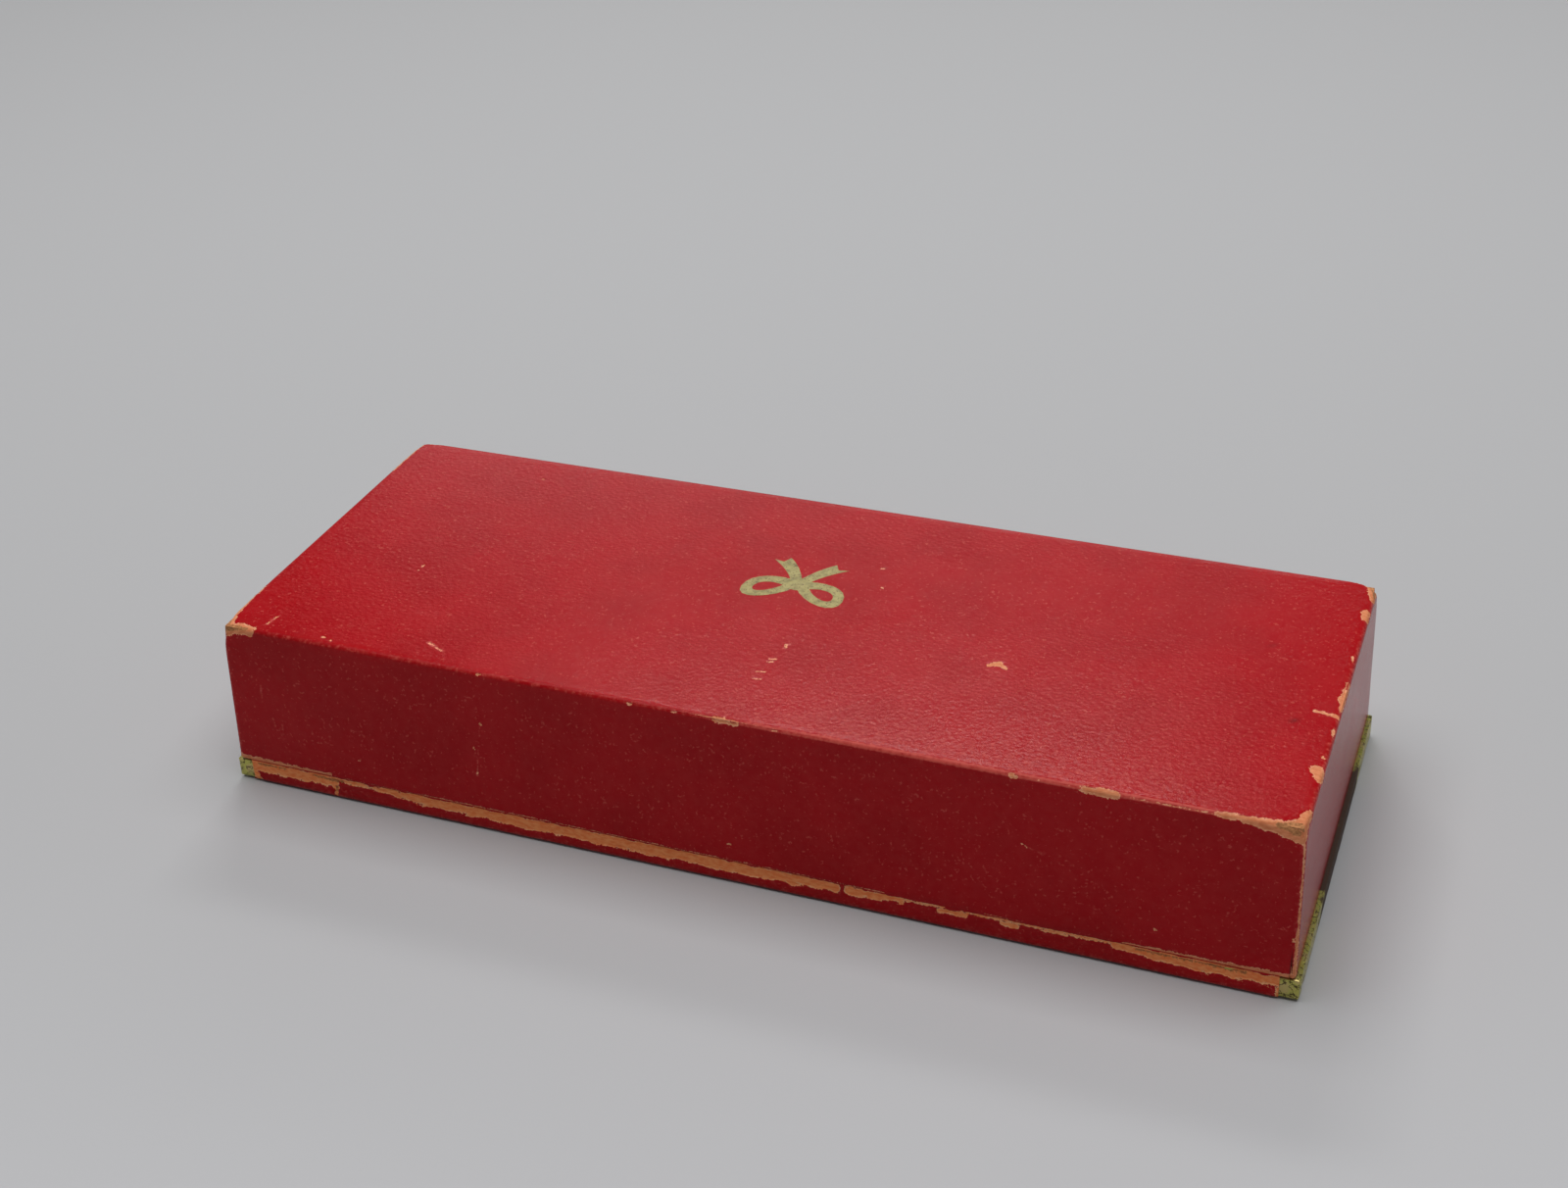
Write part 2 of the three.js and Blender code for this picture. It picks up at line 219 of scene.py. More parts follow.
def spread_grid(bm: BMesh, step: float, shown: Callable[[BMFace], bool], least: float = 4 * MM) -> None:
    """Cuts the long faces of a blocky body into an even grid.

    Args:
        bm: The body.
        step: The grid's spacing, in metres.
        shown: Says which faces are cut. The others only take up their neighbours' vertices.
        least: Edges shorter than this stay whole.
    """
    for axis in Axis:
        wanted = {e for f in bm.faces if shown(f) for e in f.edges}
        by_cuts: dict[int, list[BMEdge]] = {}
        long_edges = edges_along(wanted, axis, least)
        longest = max((e.calc_length() for e in long_edges), default=0.0)
        for edge in long_edges:
            length = edge.calc_length()
            same_run = axis is not Axis.HEIGHT and length > 0.8 * longest
            cuts = round((longest if same_run else length) / step) - 1
            by_cuts.setdefault(max(cuts, 1), []).append(edge)
        for cuts, group in by_cuts.items():
            bmesh.ops.subdivide_edges(bm, edges=group, cuts=cuts, use_grid_fill=True)


def finish_piece(
    name: str, bm: BMesh, finish: Material, body: Body | None, replaces: Sequence[str] = (),
) -> Object:
    """Makes a bmesh a piece of the box.

    Args:
        name: The piece's name.
        bm: Its shape, in place. It is freed.
        finish: Its material.
        body: The body that it rides on, or None for a piece that is attached to neither.
        replaces: The CAD nodes that it stands for.

    Returns:
        The new object.
    """
    mesh = bpy.data.meshes.new(name)
    bm.normal_update()
    for edge in bm.edges:
        edge.smooth = edge.calc_face_angle(0.0) < SHARP_FOLD
    bm.to_mesh(mesh)
    bm.free()
    mesh.polygons.foreach_set("use_smooth", [True] * len(mesh.polygons))
    mesh.materials.append(finish)
    piece = bpy.data.objects.new(name, mesh)
    bpy.context.scene.collection.objects.link(piece)
    if replaces:
        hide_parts(*replaces)
    if body is not None:
        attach(piece, body.value)
    LOG.info("%s: %d faces", name, len(mesh.polygons))
    return piece


def copy_of(node: str) -> BMesh:
    """A CAD node's shape with its triangles merged into whole faces.

    Args:
        node: The node's name.

    Returns:
        The copy. The node's own mesh stays as it is.
    """
    bm = bmesh.new()
    bm.from_mesh(bpy.data.objects[node].data)
    bmesh.ops.remove_doubles(bm, verts=bm.verts, dist=0.001 * MM)
    bmesh.ops.dissolve_limit(bm, angle_limit=math.radians(1), verts=bm.verts, edges=bm.edges)
    return bm


def open_folds(bm: BMesh) -> list[BMEdge]:
    """The sharp edges of a wrap that can be seen.

    Args:
        bm: The wrap.

    Returns:
        The edges between two faces that aren't hidden inside the box.
    """
    return [
        e for e in bm.edges
        if len(e.link_faces) == 2 and all(is_shown(f) for f in e.link_faces)
        and e.link_faces[0].normal.angle(e.link_faces[1].normal) > 1.0
    ]


# ---------------------------------------------------------------- Wear


@dataclass(frozen=True)
class Stroke:
    """One rubbed or torn place: a capsule that may taper, in millimetres.

    Attributes:
        start: One end.
        end: The other end.
        start_reach: How far the wear spreads round the start.
        end_reach: How far it spreads round the end.
    """

    start: Point
    end: Point
    start_reach: float
    end_reach: float

    def inside(self, points: np.ndarray) -> np.ndarray:
        """How far each point lies inside the stroke's outline.

        Args:
            points: The points, in millimetres.

        Returns:
            One value a point, below 0 outside the outline.
        """
        start, run = np.array(self.start), np.array(self.end) - np.array(self.start)
        along = np.clip((points - start) @ run / max(run @ run, 1e-9), 0.0, 1.0)
        gap = np.linalg.norm(points - start - along[:, None] * run, axis=1)
        return self.start_reach + (self.end_reach - self.start_reach) * along - gap


def strokes(*rows: Sequence[float]) -> tuple[Stroke, ...]:
    """Strokes from rows of the start's x, y, z, the end's x, y, z, and the two reaches."""
    return tuple(Stroke(tuple(row[:3]), tuple(row[3:6]), row[6], row[7]) for row in rows)


def level(z: float, *rows: Sequence[float]) -> tuple[Stroke, ...]:
    """Strokes at one height, from rows of the start's x, y, the end's x, y, and the two reaches."""
    return strokes(*((x, y, z, end_x, end_y, z, wide, narrow) for x, y, end_x, end_y, wide, narrow in rows))


def upright(y: float, *rows: Sequence[float]) -> tuple[Stroke, ...]:
    """Strokes at one depth, from rows of the start's x, z, the end's x, z, and the two reaches."""
    return strokes(*((x, y, z, end_x, y, end_z, wide, narrow) for x, z, end_x, end_z, wide, narrow in rows))


@dataclass(frozen=True)
class Wear:
    """Worn places on one piece, with a ragged outline.

    Attributes:
        strokes: The places.
        ragged: How far the outline wanders, in millimetres.
        wavelength: How far apart its teeth are, in millimetres.
        stretch: Makes the teeth longer along the box.
    """

    strokes: tuple[Stroke, ...]
    ragged: float = 0.46
    wavelength: float = 1.15
    stretch: float = 1.0

    def field(self, points: np.ndarray, near: float = 2.5) -> np.ndarray:
        """How far each point lies inside the worn places, in millimetres.

        Args:
            points: The points, in millimetres.
            near: Points further out than this aren't roughened.

        Returns:
            One value a point, above 0 where the paper is gone.
        """
        value = np.full(len(points), -10.0)
        reach = np.full(len(points), 1.0)
        for stroke in self.strokes:
            inside = stroke.inside(points)
            closer = inside > value
            value = np.where(closer, inside, value)
            widest = max(stroke.start_reach, stroke.end_reach)
            reach = np.where(closer, min(1.0, widest), reach)
        for i in np.flatnonzero(value > -near):
            place = points[i] / np.array((self.stretch, 1.0, 1.0))
            rough = ripple(place, self.wavelength) + 0.5 * ripple(place, self.wavelength / 2.6, 7.0)
            value[i] += self.ragged * reach[i] * rough
        return np.maximum(value, -4.0)


def refine_near(bm: BMesh, wear: Wear, margins: Sequence[float]) -> None:
    """Halves the mesh near the outlines of worn places, once for each margin.

    Args:
        bm: The body.
        wear: Its worn places.
        margins: How far from an outline each halving reaches, in millimetres.
    """
    for margin in margins:
        bm.verts.ensure_lookup_table()
        near = {v for v, value in zip(bm.verts, wear.field(points_of(bm.verts))) if abs(value) < margin}
        edges = {e for f in bm.faces if any(v in near for v in f.verts) for e in f.edges}
        bmesh.ops.subdivide_edges(bm, edges=list(edges), cuts=1, use_grid_fill=True)


# ---------------------------------------------------------------- Finishes


class Mixer:
    """A material's node tree, with short ways to add what these finishes use."""

    def __init__(self, name: str, roughness: float, specular: float = 0.5, metallic: float = 0.0) -> None:
        """Starts a material with its shader.

        Args:
            name: The material's name.
            roughness: The shader's roughness, where nothing is joined to it.
            specular: The shader's specular level.
            metallic: How metallic it is.
        """
        self.material = bpy.data.materials.new(name)
        self.material.use_nodes = True
        self.tree = self.material.node_tree
        self.tree.nodes.clear()
        output = self.add("ShaderNodeOutputMaterial")
        self.shader = self.add("ShaderNodeBsdfPrincipled")
        self.join(self.shader.outputs["BSDF"], output.inputs["Surface"])
        self.shader.inputs["Roughness"].default_value = roughness
        self.shader.inputs["Specular IOR Level"].default_value = specular
        self.shader.inputs["Metallic"].default_value = metallic
        self.place = self.add("ShaderNodeTexCoord").outputs["Object"]

    def add(self, kind: str) -> Node:
        """Adds a node."""
        return self.tree.nodes.new(kind)

    def join(self, source: NodeSocket, target: NodeSocket) -> None:
        """Links two sockets."""
        self.tree.links.new(source, target)

    def feed(self, target: NodeSocket, value: NodeSocket | float | Colour) -> None:
        """Links a socket, or sets it where the value is a plain number or colour.

        Args:
            target: The socket to fill.
            value: Another node's output, or a value.
        """
        if isinstance(value, NodeSocket):
            self.join(value, target)
        else:
            target.default_value = value

    def stretched(self, along: float, across: float, upwards: float) -> NodeSocket:
        """The place on the box, stretched.

        Args:
            along: How much longer a pattern grows along X.
            across: The same along Y.
            upwards: The same along Z.

        Returns:
            The stretched place.
        """
        mapping = self.add("ShaderNodeMapping")
        mapping.inputs["Scale"].default_value = (1 / along, 1 / across, 1 / upwards)
        self.join(self.place, mapping.inputs["Vector"])
        return mapping.outputs["Vector"]

    def noise(self, wavelength: float, detail: float = 2.0, place: NodeSocket | None = None) -> NodeSocket:
        """Noise, about 0.5.

        Args:
            wavelength: How far apart its waves are, in metres.
            detail: How many finer waves lie on them.
            place: Where it is read, or None for the place on the box.

        Returns:
            The noise.
        """
        texture = self.add("ShaderNodeTexNoise")
        texture.inputs["Scale"].default_value = 1 / wavelength
        texture.inputs["Detail"].default_value = detail
        self.join(place or self.place, texture.inputs["Vector"])
        return texture.outputs["Fac"]

    def cells(self, wavelength: float, place: NodeSocket | None = None) -> NodeSocket:
        """Distance to the middle of the nearest cell.

        Args:
            wavelength: How large the cells are, in metres.
            place: Where it is read, or None for the place on the box.

        Returns:
            The distance.
        """
        texture = self.add("ShaderNodeTexVoronoi")
        texture.inputs["Scale"].default_value = 1 / wavelength
        self.join(place or self.place, texture.inputs["Vector"])
        return texture.outputs["Distance"]

    def value_of(self, attribute: str) -> NodeSocket:
        """A value painted on the mesh.

        Args:
            attribute: The attribute's name.

        Returns:
            The value.
        """
        node = self.add("ShaderNodeAttribute")
        node.attribute_name = attribute
        return node.outputs["Fac"]

    def maths(
        self, operation: str, first: NodeSocket | float, second: NodeSocket | float = 0.0,
    ) -> NodeSocket:
        """One sum of two values.

        Args:
            operation: What is done with them.
            first: One value.
            second: The other.

        Returns:
            The result.
        """
        node = self.add("ShaderNodeMath")
        node.operation = operation
        self.feed(node.inputs[0], first)
        self.feed(node.inputs[1], second)
        return node.outputs[0]

    def between(
        self, value: NodeSocket, low: float, high: float, out_low: float = 0.0, out_high: float = 1.0,
    ) -> NodeSocket:
        """Carries a value's range over to another range, smoothly and clamped.

        Args:
            value: The value.
            low: Where its range starts.
            high: Where its range ends.
            out_low: What it becomes at the start.
            out_high: What it becomes at the end.

        Returns:
            The new value.
        """
        node = self.add("ShaderNodeMapRange")
        node.interpolation_type = "SMOOTHSTEP"
        self.join(value, node.inputs["Value"])
        for name, number in zip(("From Min", "From Max", "To Min", "To Max"), (low, high, out_low, out_high)):
            node.inputs[name].default_value = number
        return node.outputs["Result"]

    def blend(
        self, share: NodeSocket | float, first: NodeSocket | Colour, second: NodeSocket | Colour,
    ) -> NodeSocket:
        """Mixes two colours.

        Args:
            share: How much of the second there is.
            first: One colour.
            second: The other.

        Returns:
            The mixture.
        """
        node = self.add("ShaderNodeMix")
        node.data_type = "RGBA"
        self.feed(node.inputs["Factor"], share)
        self.feed(node.inputs[6], first)
        self.feed(node.inputs[7], second)
        return node.outputs[2]

    def bump(
        self, height: NodeSocket, rise: float, strength: float = 1.0, under: NodeSocket | None = None,
    ) -> NodeSocket:
        """Turns a height from 0 to 1 into relief.

        Args:
            height: The height.
            rise: How high 1 stands, in metres.
            strength: How much of it shows.
            under: Relief that this one lies on.

        Returns:
            The bumped normal.
        """
        node = self.add("ShaderNodeBump")
        node.inputs["Distance"].default_value = rise
        node.inputs["Strength"].default_value = strength
        self.join(height, node.inputs["Height"])
        if under is not None:
            self.join(under, node.inputs["Normal"])
        return node.outputs["Normal"]

    def done(
        self, colour: NodeSocket, roughness: NodeSocket | None = None, normal: NodeSocket | None = None,
    ) -> Material:
        """Joins up the shader.

        Args:
            colour: The base colour.
            roughness: The roughness, where it varies.
            normal: The relief, where there is any.

        Returns:
            The finished material.
        """
        self.join(colour, self.shader.inputs["Base Color"])
        if roughness is not None:
            self.join(roughness, self.shader.inputs["Roughness"])
        if normal is not None:
            self.join(normal, self.shader.inputs["Normal"])
        return self.material


@dataclass(frozen=True)
class LeatherettePaper:
    """Varnished red paper embossed like leather, torn through to its orange core and to the board.

    It reads what the piece's mesh carries: how far the paper is torn through to its core and to the board,
    in millimetres inside the worn outline, and, from 0 to 1, rubbing together with painted highlights,
    and grime together with painted shade.
    """

    name: str = "leatherette_paper"
    red: Colour = paint(171, 12, 21)
    deep_red: Colour = paint(162, 9, 18)
    rubbed_and_sheen_red: Colour = paint(204, 84, 74)
    core: Colour = paint(230, 148, 104)
    core_pale: Colour = paint(244, 180, 140)
    core_dark: Colour = paint(212, 124, 82)
    board: Colour = paint(202, 140, 92)
    board_dark: Colour = paint(152, 100, 62)
    grime_and_shade: Colour = paint(38, 14, 12)
    roughness: float = 0.18
    gloss: float = 0.1
    grain: float = 0.75 * MM

    def make(self) -> Material:
        """Builds the material.

        Returns:
            The material.
        """
        mix = Mixer(self.name, self.roughness, self.gloss)
        tooth = mix.maths("MULTIPLY", mix.maths("SUBTRACT", mix.noise(0.34 * MM, 4.0), 0.5), 0.85)
        bare = mix.maths("ADD", mix.value_of("bare"), tooth)
        gone = mix.between(bare, -0.03, 0.05)
        deep = mix.between(mix.maths("ADD", mix.value_of("board"), tooth), -0.08, 0.12)
        cloudy = mix.between(mix.noise(16 * MM, 3.0), 0.35, 0.7)
        mottled = mix.between(mix.noise(1.6 * MM, 3.0), 0.3, 0.75)
        red = mix.blend(cloudy, self.red, self.deep_red)
        red = mix.blend(mix.maths("MULTIPLY", mottled, 0.07), red, self.rubbed_and_sheen_red)
        fleck = mix.between(mix.noise(0.62 * MM, 3.0), 0.61, 0.7, 0.0, 0.5)
        red = mix.blend(fleck, red, self.rubbed_and_sheen_red)
        patchy = mix.maths("MULTIPLY", mix.maths("SUBTRACT", mix.noise(0.8 * MM, 4.0), 0.5), 1.3)
        # Paler red where the paper is rubbed, and where a highlight is painted on.
        rub_and_sheen = mix.between(mix.maths("ADD", mix.value_of("rub_and_sheen"), patchy), 0.2, 0.95)
        red = mix.blend(rub_and_sheen, red, self.rubbed_and_sheen_red)
        fibre = mix.noise(0.5 * MM, 5.0, mix.stretched(2.2, 1.0, 1.0))
        core = mix.blend(mix.between(fibre, 0.32, 0.68), self.core_dark, self.core)
        rim = mix.maths("MULTIPLY", mix.between(bare, 0.3, 0.02), mix.between(mix.noise(0.8 * MM), 0.3, 0.6))
        core = mix.blend(rim, core, self.core_pale)
        board = mix.blend(mix.between(mix.noise(0.45 * MM, 4.0), 0.3, 0.7), self.board_dark, self.board)
        under = mix.blend(deep, core, board)
        colour = mix.blend(gone, red, under)
        # Grime, and painted shade where the mesh carries it, darken the colour.
        colour = mix.blend(mix.value_of("grime_and_shade"), colour, self.grime_and_shade)
        worn = mix.maths("MAXIMUM", gone, mix.maths("MULTIPLY", rub_and_sheen, 0.4))
        sheen = mix.between(mix.noise(7 * MM, 3.0), 0.3, 0.7, self.roughness, self.roughness + 0.03)
        roughness = mix.maths("ADD", mix.maths("MULTIPLY", worn, 0.5), sheen)
        pebble = mix.maths(
            "ADD",
            mix.maths("MULTIPLY", mix.cells(self.grain, mix.stretched(1.3, 1.0, 1.0)), 0.7),
            mix.maths("MULTIPLY", mix.noise(0.28 * MM, 3.0), 0.6),
        )
        relief = mix.bump(pebble, 0.05 * MM, 0.9)
        step = mix.bump(mix.maths("SUBTRACT", 1.0, gone), 0.1 * MM, 0.45, relief)
        furry = mix.bump(mix.maths("MULTIPLY", gone, fibre), 0.16 * MM, 0.5, step)
        return mix.done(colour, roughness, furry)


@dataclass(frozen=True)
class FoilPaper:
    """Gold foil paper, bright where the mesh's tarnish is 0 and brown where it is 1.

    Attributes:
        name: The material's name.
        gold: The clean foil.
        green: Foil that has begun to turn.
        brown: Foil that has gone.
        crumple: How high its creases stand, in metres.
    """

    name: str = "foil_paper"
    gold: Colour = paint(200, 182, 116)
    green: Colour = paint(190, 186, 96)
    brown: Colour = paint(66, 46, 32)
    crumple: float = 0.12 * MM

    def make(self) -> Material:
        """Builds the material.

        Returns:
            The material.
        """
        mix = Mixer(self.name, 0.38)
        amount = mix.value_of("tarnish")
        patch = mix.maths("MULTIPLY", mix.maths("SUBTRACT", mix.noise(2.4 * MM, 6.0), 0.5), 1.5)
        edge = mix.maths("ADD", amount, mix.maths("MULTIPLY", patch, mix.between(amount, 0.02, 0.35)))
        tarnish = mix.between(edge, 0.44, 0.82)
        turned = mix.between(mix.maths("ADD", edge, mix.maths("MULTIPLY", patch, 0.3)), 0.12, 0.42)
        foil = mix.blend(turned, self.gold, self.green)
        fleck = mix.between(mix.noise(0.5 * MM, 4.0), 0.6, 0.7)
        foil = mix.blend(mix.maths("MULTIPLY", fleck, mix.between(edge, 0.1, 0.4)), foil, self.brown)
        wander = mix.maths("ABSOLUTE", mix.maths("SUBTRACT", mix.noise(1.5 * MM, 2.0), 0.5))
        crack = mix.maths("MULTIPLY", mix.between(wander, 0.035, 0.008), mix.between(amount, 0.15, 0.25))
        foil = mix.blend(mix.maths("MULTIPLY", crack, 0.85), foil, self.brown)
        colour = mix.blend(tarnish, foil, self.brown)
        metal = mix.between(tarnish, 0.0, 1.0, 0.75, 0.0)
        mix.join(metal, mix.shader.inputs["Metallic"])
        roughness = mix.between(tarnish, 0.0, 1.0, 0.34, 0.8)
        crease = mix.bump(mix.maths("SUBTRACT", mix.cells(1.7 * MM), crack), self.crumple, 0.45)
        fine = mix.bump(mix.noise(0.3 * MM, 3.0), 0.03 * MM, 0.5, crease)
        return mix.done(colour, roughness, fine)


@dataclass(frozen=True)
class StampFoil:
    """Hot-stamped gold foil that has taken up the leather grain and lost a few specks."""

    gold: Colour = paint(156, 146, 92)
    dull: Colour = paint(122, 110, 66)
    speck: Colour = paint(80, 40, 26)

    def make(self) -> Material:
        """Builds the material.

        Returns:
            The material.
        """
        mix = Mixer("stamp_foil", 0.42, metallic=0.55)
        foil = mix.blend(mix.between(mix.noise(1.5 * MM, 4.0), 0.35, 0.7), self.gold, self.dull)
        lost = mix.between(mix.noise(0.33 * MM, 3.0), 0.61, 0.65)
        colour = mix.blend(lost, foil, self.speck)
        roughness = mix.between(mix.noise(0.8 * MM, 3.0), 0.3, 0.7, 0.36, 0.55)
        grain = mix.bump(mix.noise(0.3 * MM, 3.0), 0.03 * MM, 0.6)
        return mix.done(colour, roughness, grain)


@dataclass(frozen=True)
class PulpBoard:
    """Plain board or paper with pulp flecks in it.

    Attributes:
        name: The material's name.
        pale: Its light tone.
        dark: Its dark tone.
        fleck: How large its mottling is, in metres.
    """

    name: str
    pale: Colour
    dark: Colour
    fleck: float = 0.9 * MM

    def make(self) -> Material:
        """Builds the material.

        Returns:
            The material.
        """
        mix = Mixer(self.name, 0.9, 0.3)
        tone = mix.between(mix.noise(self.fleck, 6.0, mix.stretched(1.8, 1.0, 1.0)), 0.3, 0.72)
        pulp = mix.bump(mix.noise(0.35 * MM, 4.0), 0.05 * MM, 0.6)
        return mix.done(mix.blend(tone, self.dark, self.pale), None, pulp)


@dataclass(frozen=True)
class Velvet:
    """Short-pile velvet, with the nap brushed this way and that."""

    pale: Colour = paint(232, 220, 192)
    dark: Colour = paint(196, 178, 140)

    def make(self) -> Material:
        """Builds the material.

        Returns:
            The material.
        """
        mix = Mixer("velvet", 0.95, 0.15)
        mix.shader.inputs["Sheen Weight"].default_value = 0.6
        mix.shader.inputs["Sheen Roughness"].default_value = 0.35
        nap = mix.between(mix.noise(11 * MM, 3.0, mix.stretched(2.5, 1.0, 1.0)), 0.4, 0.62)
        pile = mix.between(mix.noise(0.4 * MM, 3.0), 0.25, 0.75)
        colour = mix.blend(mix.maths("MULTIPLY", nap, 0.28), self.pale, self.dark)
        colour = mix.blend(mix.maths("MULTIPLY", pile, 0.45), colour, self.dark)
        tufts = mix.bump(mix.noise(0.3 * MM, 2.0), 0.12 * MM, 0.7)
        return mix.done(colour, None, tufts)


@dataclass(frozen=True)
class Satin:
    """Cream satin, its threads running along the box."""

    pale: Colour = paint(244, 232, 206)
    dark: Colour = paint(214, 196, 158)

    def make(self) -> Material:
        """Builds the material.

        Returns:
            The material.
        """
        mix = Mixer("lining_satin", 0.42, 0.5)
        mix.shader.inputs["Sheen Weight"].default_value = 0.25
        thread = mix.noise(0.25 * MM, 2.0, mix.stretched(18.0, 1.0, 1.0))
        slub = mix.noise(0.9 * MM, 3.0, mix.stretched(22.0, 1.0, 1.0))
        colour = mix.blend(mix.between(slub, 0.4, 0.75, 0.0, 0.22), self.pale, self.dark)
        colour = mix.blend(mix.between(thread, 0.3, 0.7, 0.0, 0.3), colour, self.dark)
        roughness = mix.between(slub, 0.3, 0.7, 0.36, 0.5)
        return mix.done(colour, roughness, mix.bump(thread, 0.04 * MM, 0.7))


@dataclass(frozen=True)
class Webbing:
    """Ribbed elastic, woven across its width."""

    pale: Colour = paint(226, 212, 172)
    dark: Colour = paint(182, 162, 116)
    rib: float = 1.1 * MM

    def make(self) -> Material:
        """Builds the material.

        Returns:
            The material.
        """
        mix = Mixer("band_webbing", 0.7, 0.35)
        mix.shader.inputs["Sheen Weight"].default_value = 0.3
        uv = mix.add("ShaderNodeUVMap")
        uv.uv_map = "run"
        ribs = mix.add("ShaderNodeTexWave")
        ribs.bands_direction = "X"
        ribs.inputs["Scale"].default_value = math.tau / 20 / self.rib
        mix.join(uv.outputs["UV"], ribs.inputs["Vector"])
        yarn = mix.noise(0.3 * MM, 3.0)
        height = mix.maths("ADD", ribs.outputs["Fac"], mix.maths("MULTIPLY", yarn, 0.5))
        colour = mix.blend(mix.between(height, 0.2, 1.2), self.dark, self.pale)
        return mix.done(colour, None, mix.bump(height, 0.12 * MM, 0.8))


@dataclass(frozen=True)
class BookCloth:
    """Dark red book cloth with an open square weave."""

    thread: Colour = paint(132, 22, 26)
    gap: Colour = paint(84, 10, 14)

    def make(self) -> Material:
        """Builds the material.

        Returns:
            The material.
        """
        mix = Mixer("hinge_cloth", 0.8, 0.3)
        warp = mix.noise(0.25 * MM, 2.0, mix.stretched(6.0, 1.0, 1.0))
        weft = mix.noise(0.25 * MM, 2.0, mix.stretched(1.0, 6.0, 6.0))
        weave = mix.maths("MAXIMUM", warp, weft)
        colour = mix.blend(mix.between(weave, 0.4, 0.7), self.gap, self.thread)
        return mix.done(colour, None, mix.bump(weave, 0.06 * MM, 0.8))


@dataclass(frozen=True)
class Sweep:
    """The matt grey paper that the box stands on, with the light's falloff painted on: paler in front than
    far behind.
    """

    lit_near_grey: Colour = paint(200, 200, 202)
    grey: Colour = paint(184, 184, 185)
    shaded_far_grey: Colour = paint(168, 168, 168)

    def make(self) -> Material:
        """Builds the material.

        Returns:
            The material.
        """
        mix = Mixer("sweep_paper_painted_falloff", 0.85, 0.25)
        split = mix.add("ShaderNodeSeparateXYZ")
        mix.join(mix.add("ShaderNodeTexCoord").outputs["Object"], split.inputs["Vector"])
        # Painted light falloff: the grey is paler close to the camera and darker far from it.
        away = mix.maths("SUBTRACT", mix.maths("MULTIPLY", split.outputs["X"], 0.35), split.outputs["Y"])
        colour = mix.blend(mix.between(away, -0.22, 0.02), self.lit_near_grey, self.grey)
        colour = mix.blend(mix.between(away, 0.2, 1.1), colour, self.shaded_far_grey)
        return mix.done(colour, None, mix.bump(mix.noise(0.8 * MM, 3.0), 0.03 * MM, 0.4))


# ---------------------------------------------------------------- Rectangular wraps


@dataclass(frozen=True)
class Ring:
    """One rectangle of a wrap's section, in millimetres from the wrap's outline.

    Attributes:
        inset: How far in it lies at the front and the ends.
        height: Its height, counted up from the outline's foot.
        shown: False where the face that leads to it is hidden inside the box.
        back_inset: How far in it lies at the back, where that differs.
    """

    inset: float
    height: float
    shown: bool = True
    back_inset: float | None = None


@dataclass(frozen=True)
class Outline:
    """A rectangular outline that may lean in as it rises, in metres.

    Attributes:
        low: Its lowest corner.
        high: Its highest corner.
        lean: How far each face leans in between its foot and its top, along X and Y.
    """

    low: Vector
    high: Vector
    lean: tuple[float, float] = (0.0, 0.0)

    @classmethod
    def of(cls, node: str) -> Outline:
        """The upright outline of a CAD node."""
        low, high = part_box(node)
        return cls(low, high)

    @classmethod
    def of_lid(cls) -> Outline:
        """The covered lid's outline.

        Returns:
            The outline, with the lean that the lid's top board shows.
        """
        low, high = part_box("lid_cover_paper")
        board_low, board_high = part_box("lid_top_board")
        cover = high.z - board_high.z
        share = (board_low.z - low.z) / (high.z - low.z)
        lean = tuple((high[i] - cover - board_high[i]) / share for i in range(2))
        return cls(low, high, lean)

    @property
    def centre(self) -> Vector:
        """The middle of the outline."""
        return (self.low + self.high) / 2

    def corners(self, ring: Ring) -> list[Vector]:
        """The four corners of a ring.

        Args:
            ring: The ring.

        Returns:
            Its corners, anticlockwise seen from above.
        """
        z = self.low.z + ring.height * MM
        share = (z - self.low.z) / (self.high.z - self.low.z)
        side = ring.inset * MM
        back = side if ring.back_inset is None else ring.back_inset * MM
        low_x = self.low.x + side + self.lean[0] * share
        high_x = self.high.x - side - self.lean[0] * share
        low_y = self.low.y + side + self.lean[1] * share
        high_y = self.high.y - back - self.lean[1] * share
        return [Vector(p) for p in (
            (low_x, low_y, z), (high_x, low_y, z), (high_x, high_y, z), (low_x, high_y, z),
        )]


def wrap(outline: Outline, rings: Sequence[Ring], tube: bool = False) -> BMesh:
    """Extrudes a body ring by ring.

    Args:
        outline: What the rings are measured from.
        rings: The section, ring by ring. Faces whose ring isn't shown get material index 1 for now.
        tube: True where the last ring meets the first, False where both ends are closed by a face.

    Returns:
        A closed body with its faces pointing out.
    """
    bm = bmesh.new()
    first = [bm.verts.new(corner) for corner in outline.corners(rings[0])]
    loop = [bm.edges.new((first[i], first[(i + 1) % 4])) for i in range(4)]
    start = loop
    if not tube:
        bm.faces.new(first)
    for ring in rings[1:]:
        made = bmesh.ops.extrude_edge_only(bm, edges=loop)["geom"]
        for face in (g for g in made if isinstance(g, BMFace)):
            face.material_index = 0 if ring.shown else 1
        corners = outline.corners(ring)
        middle = sum(corners, Vector()) / 4
        for vert in (g for g in made if isinstance(g, BMVert)):
            right, back = vert.co.x > middle.x, vert.co.y > middle.y
            vert.co = corners[(2 if back else 1) if right else (3 if back else 0)]
        loop = [g for g in made if isinstance(g, BMEdge) and all(v in made for v in g.verts)]
    if tube:
        bmesh.ops.bridge_loops(bm, edges=loop + start)
        for face in bm.faces[-4:]:
            face.material_index = 1
    else:
        cap = bmesh.ops.contextual_create(bm, geom=loop)["faces"][0]
        cap.material_index = 1
    bmesh.ops.recalc_face_normals(bm, faces=bm.faces)
    return bm


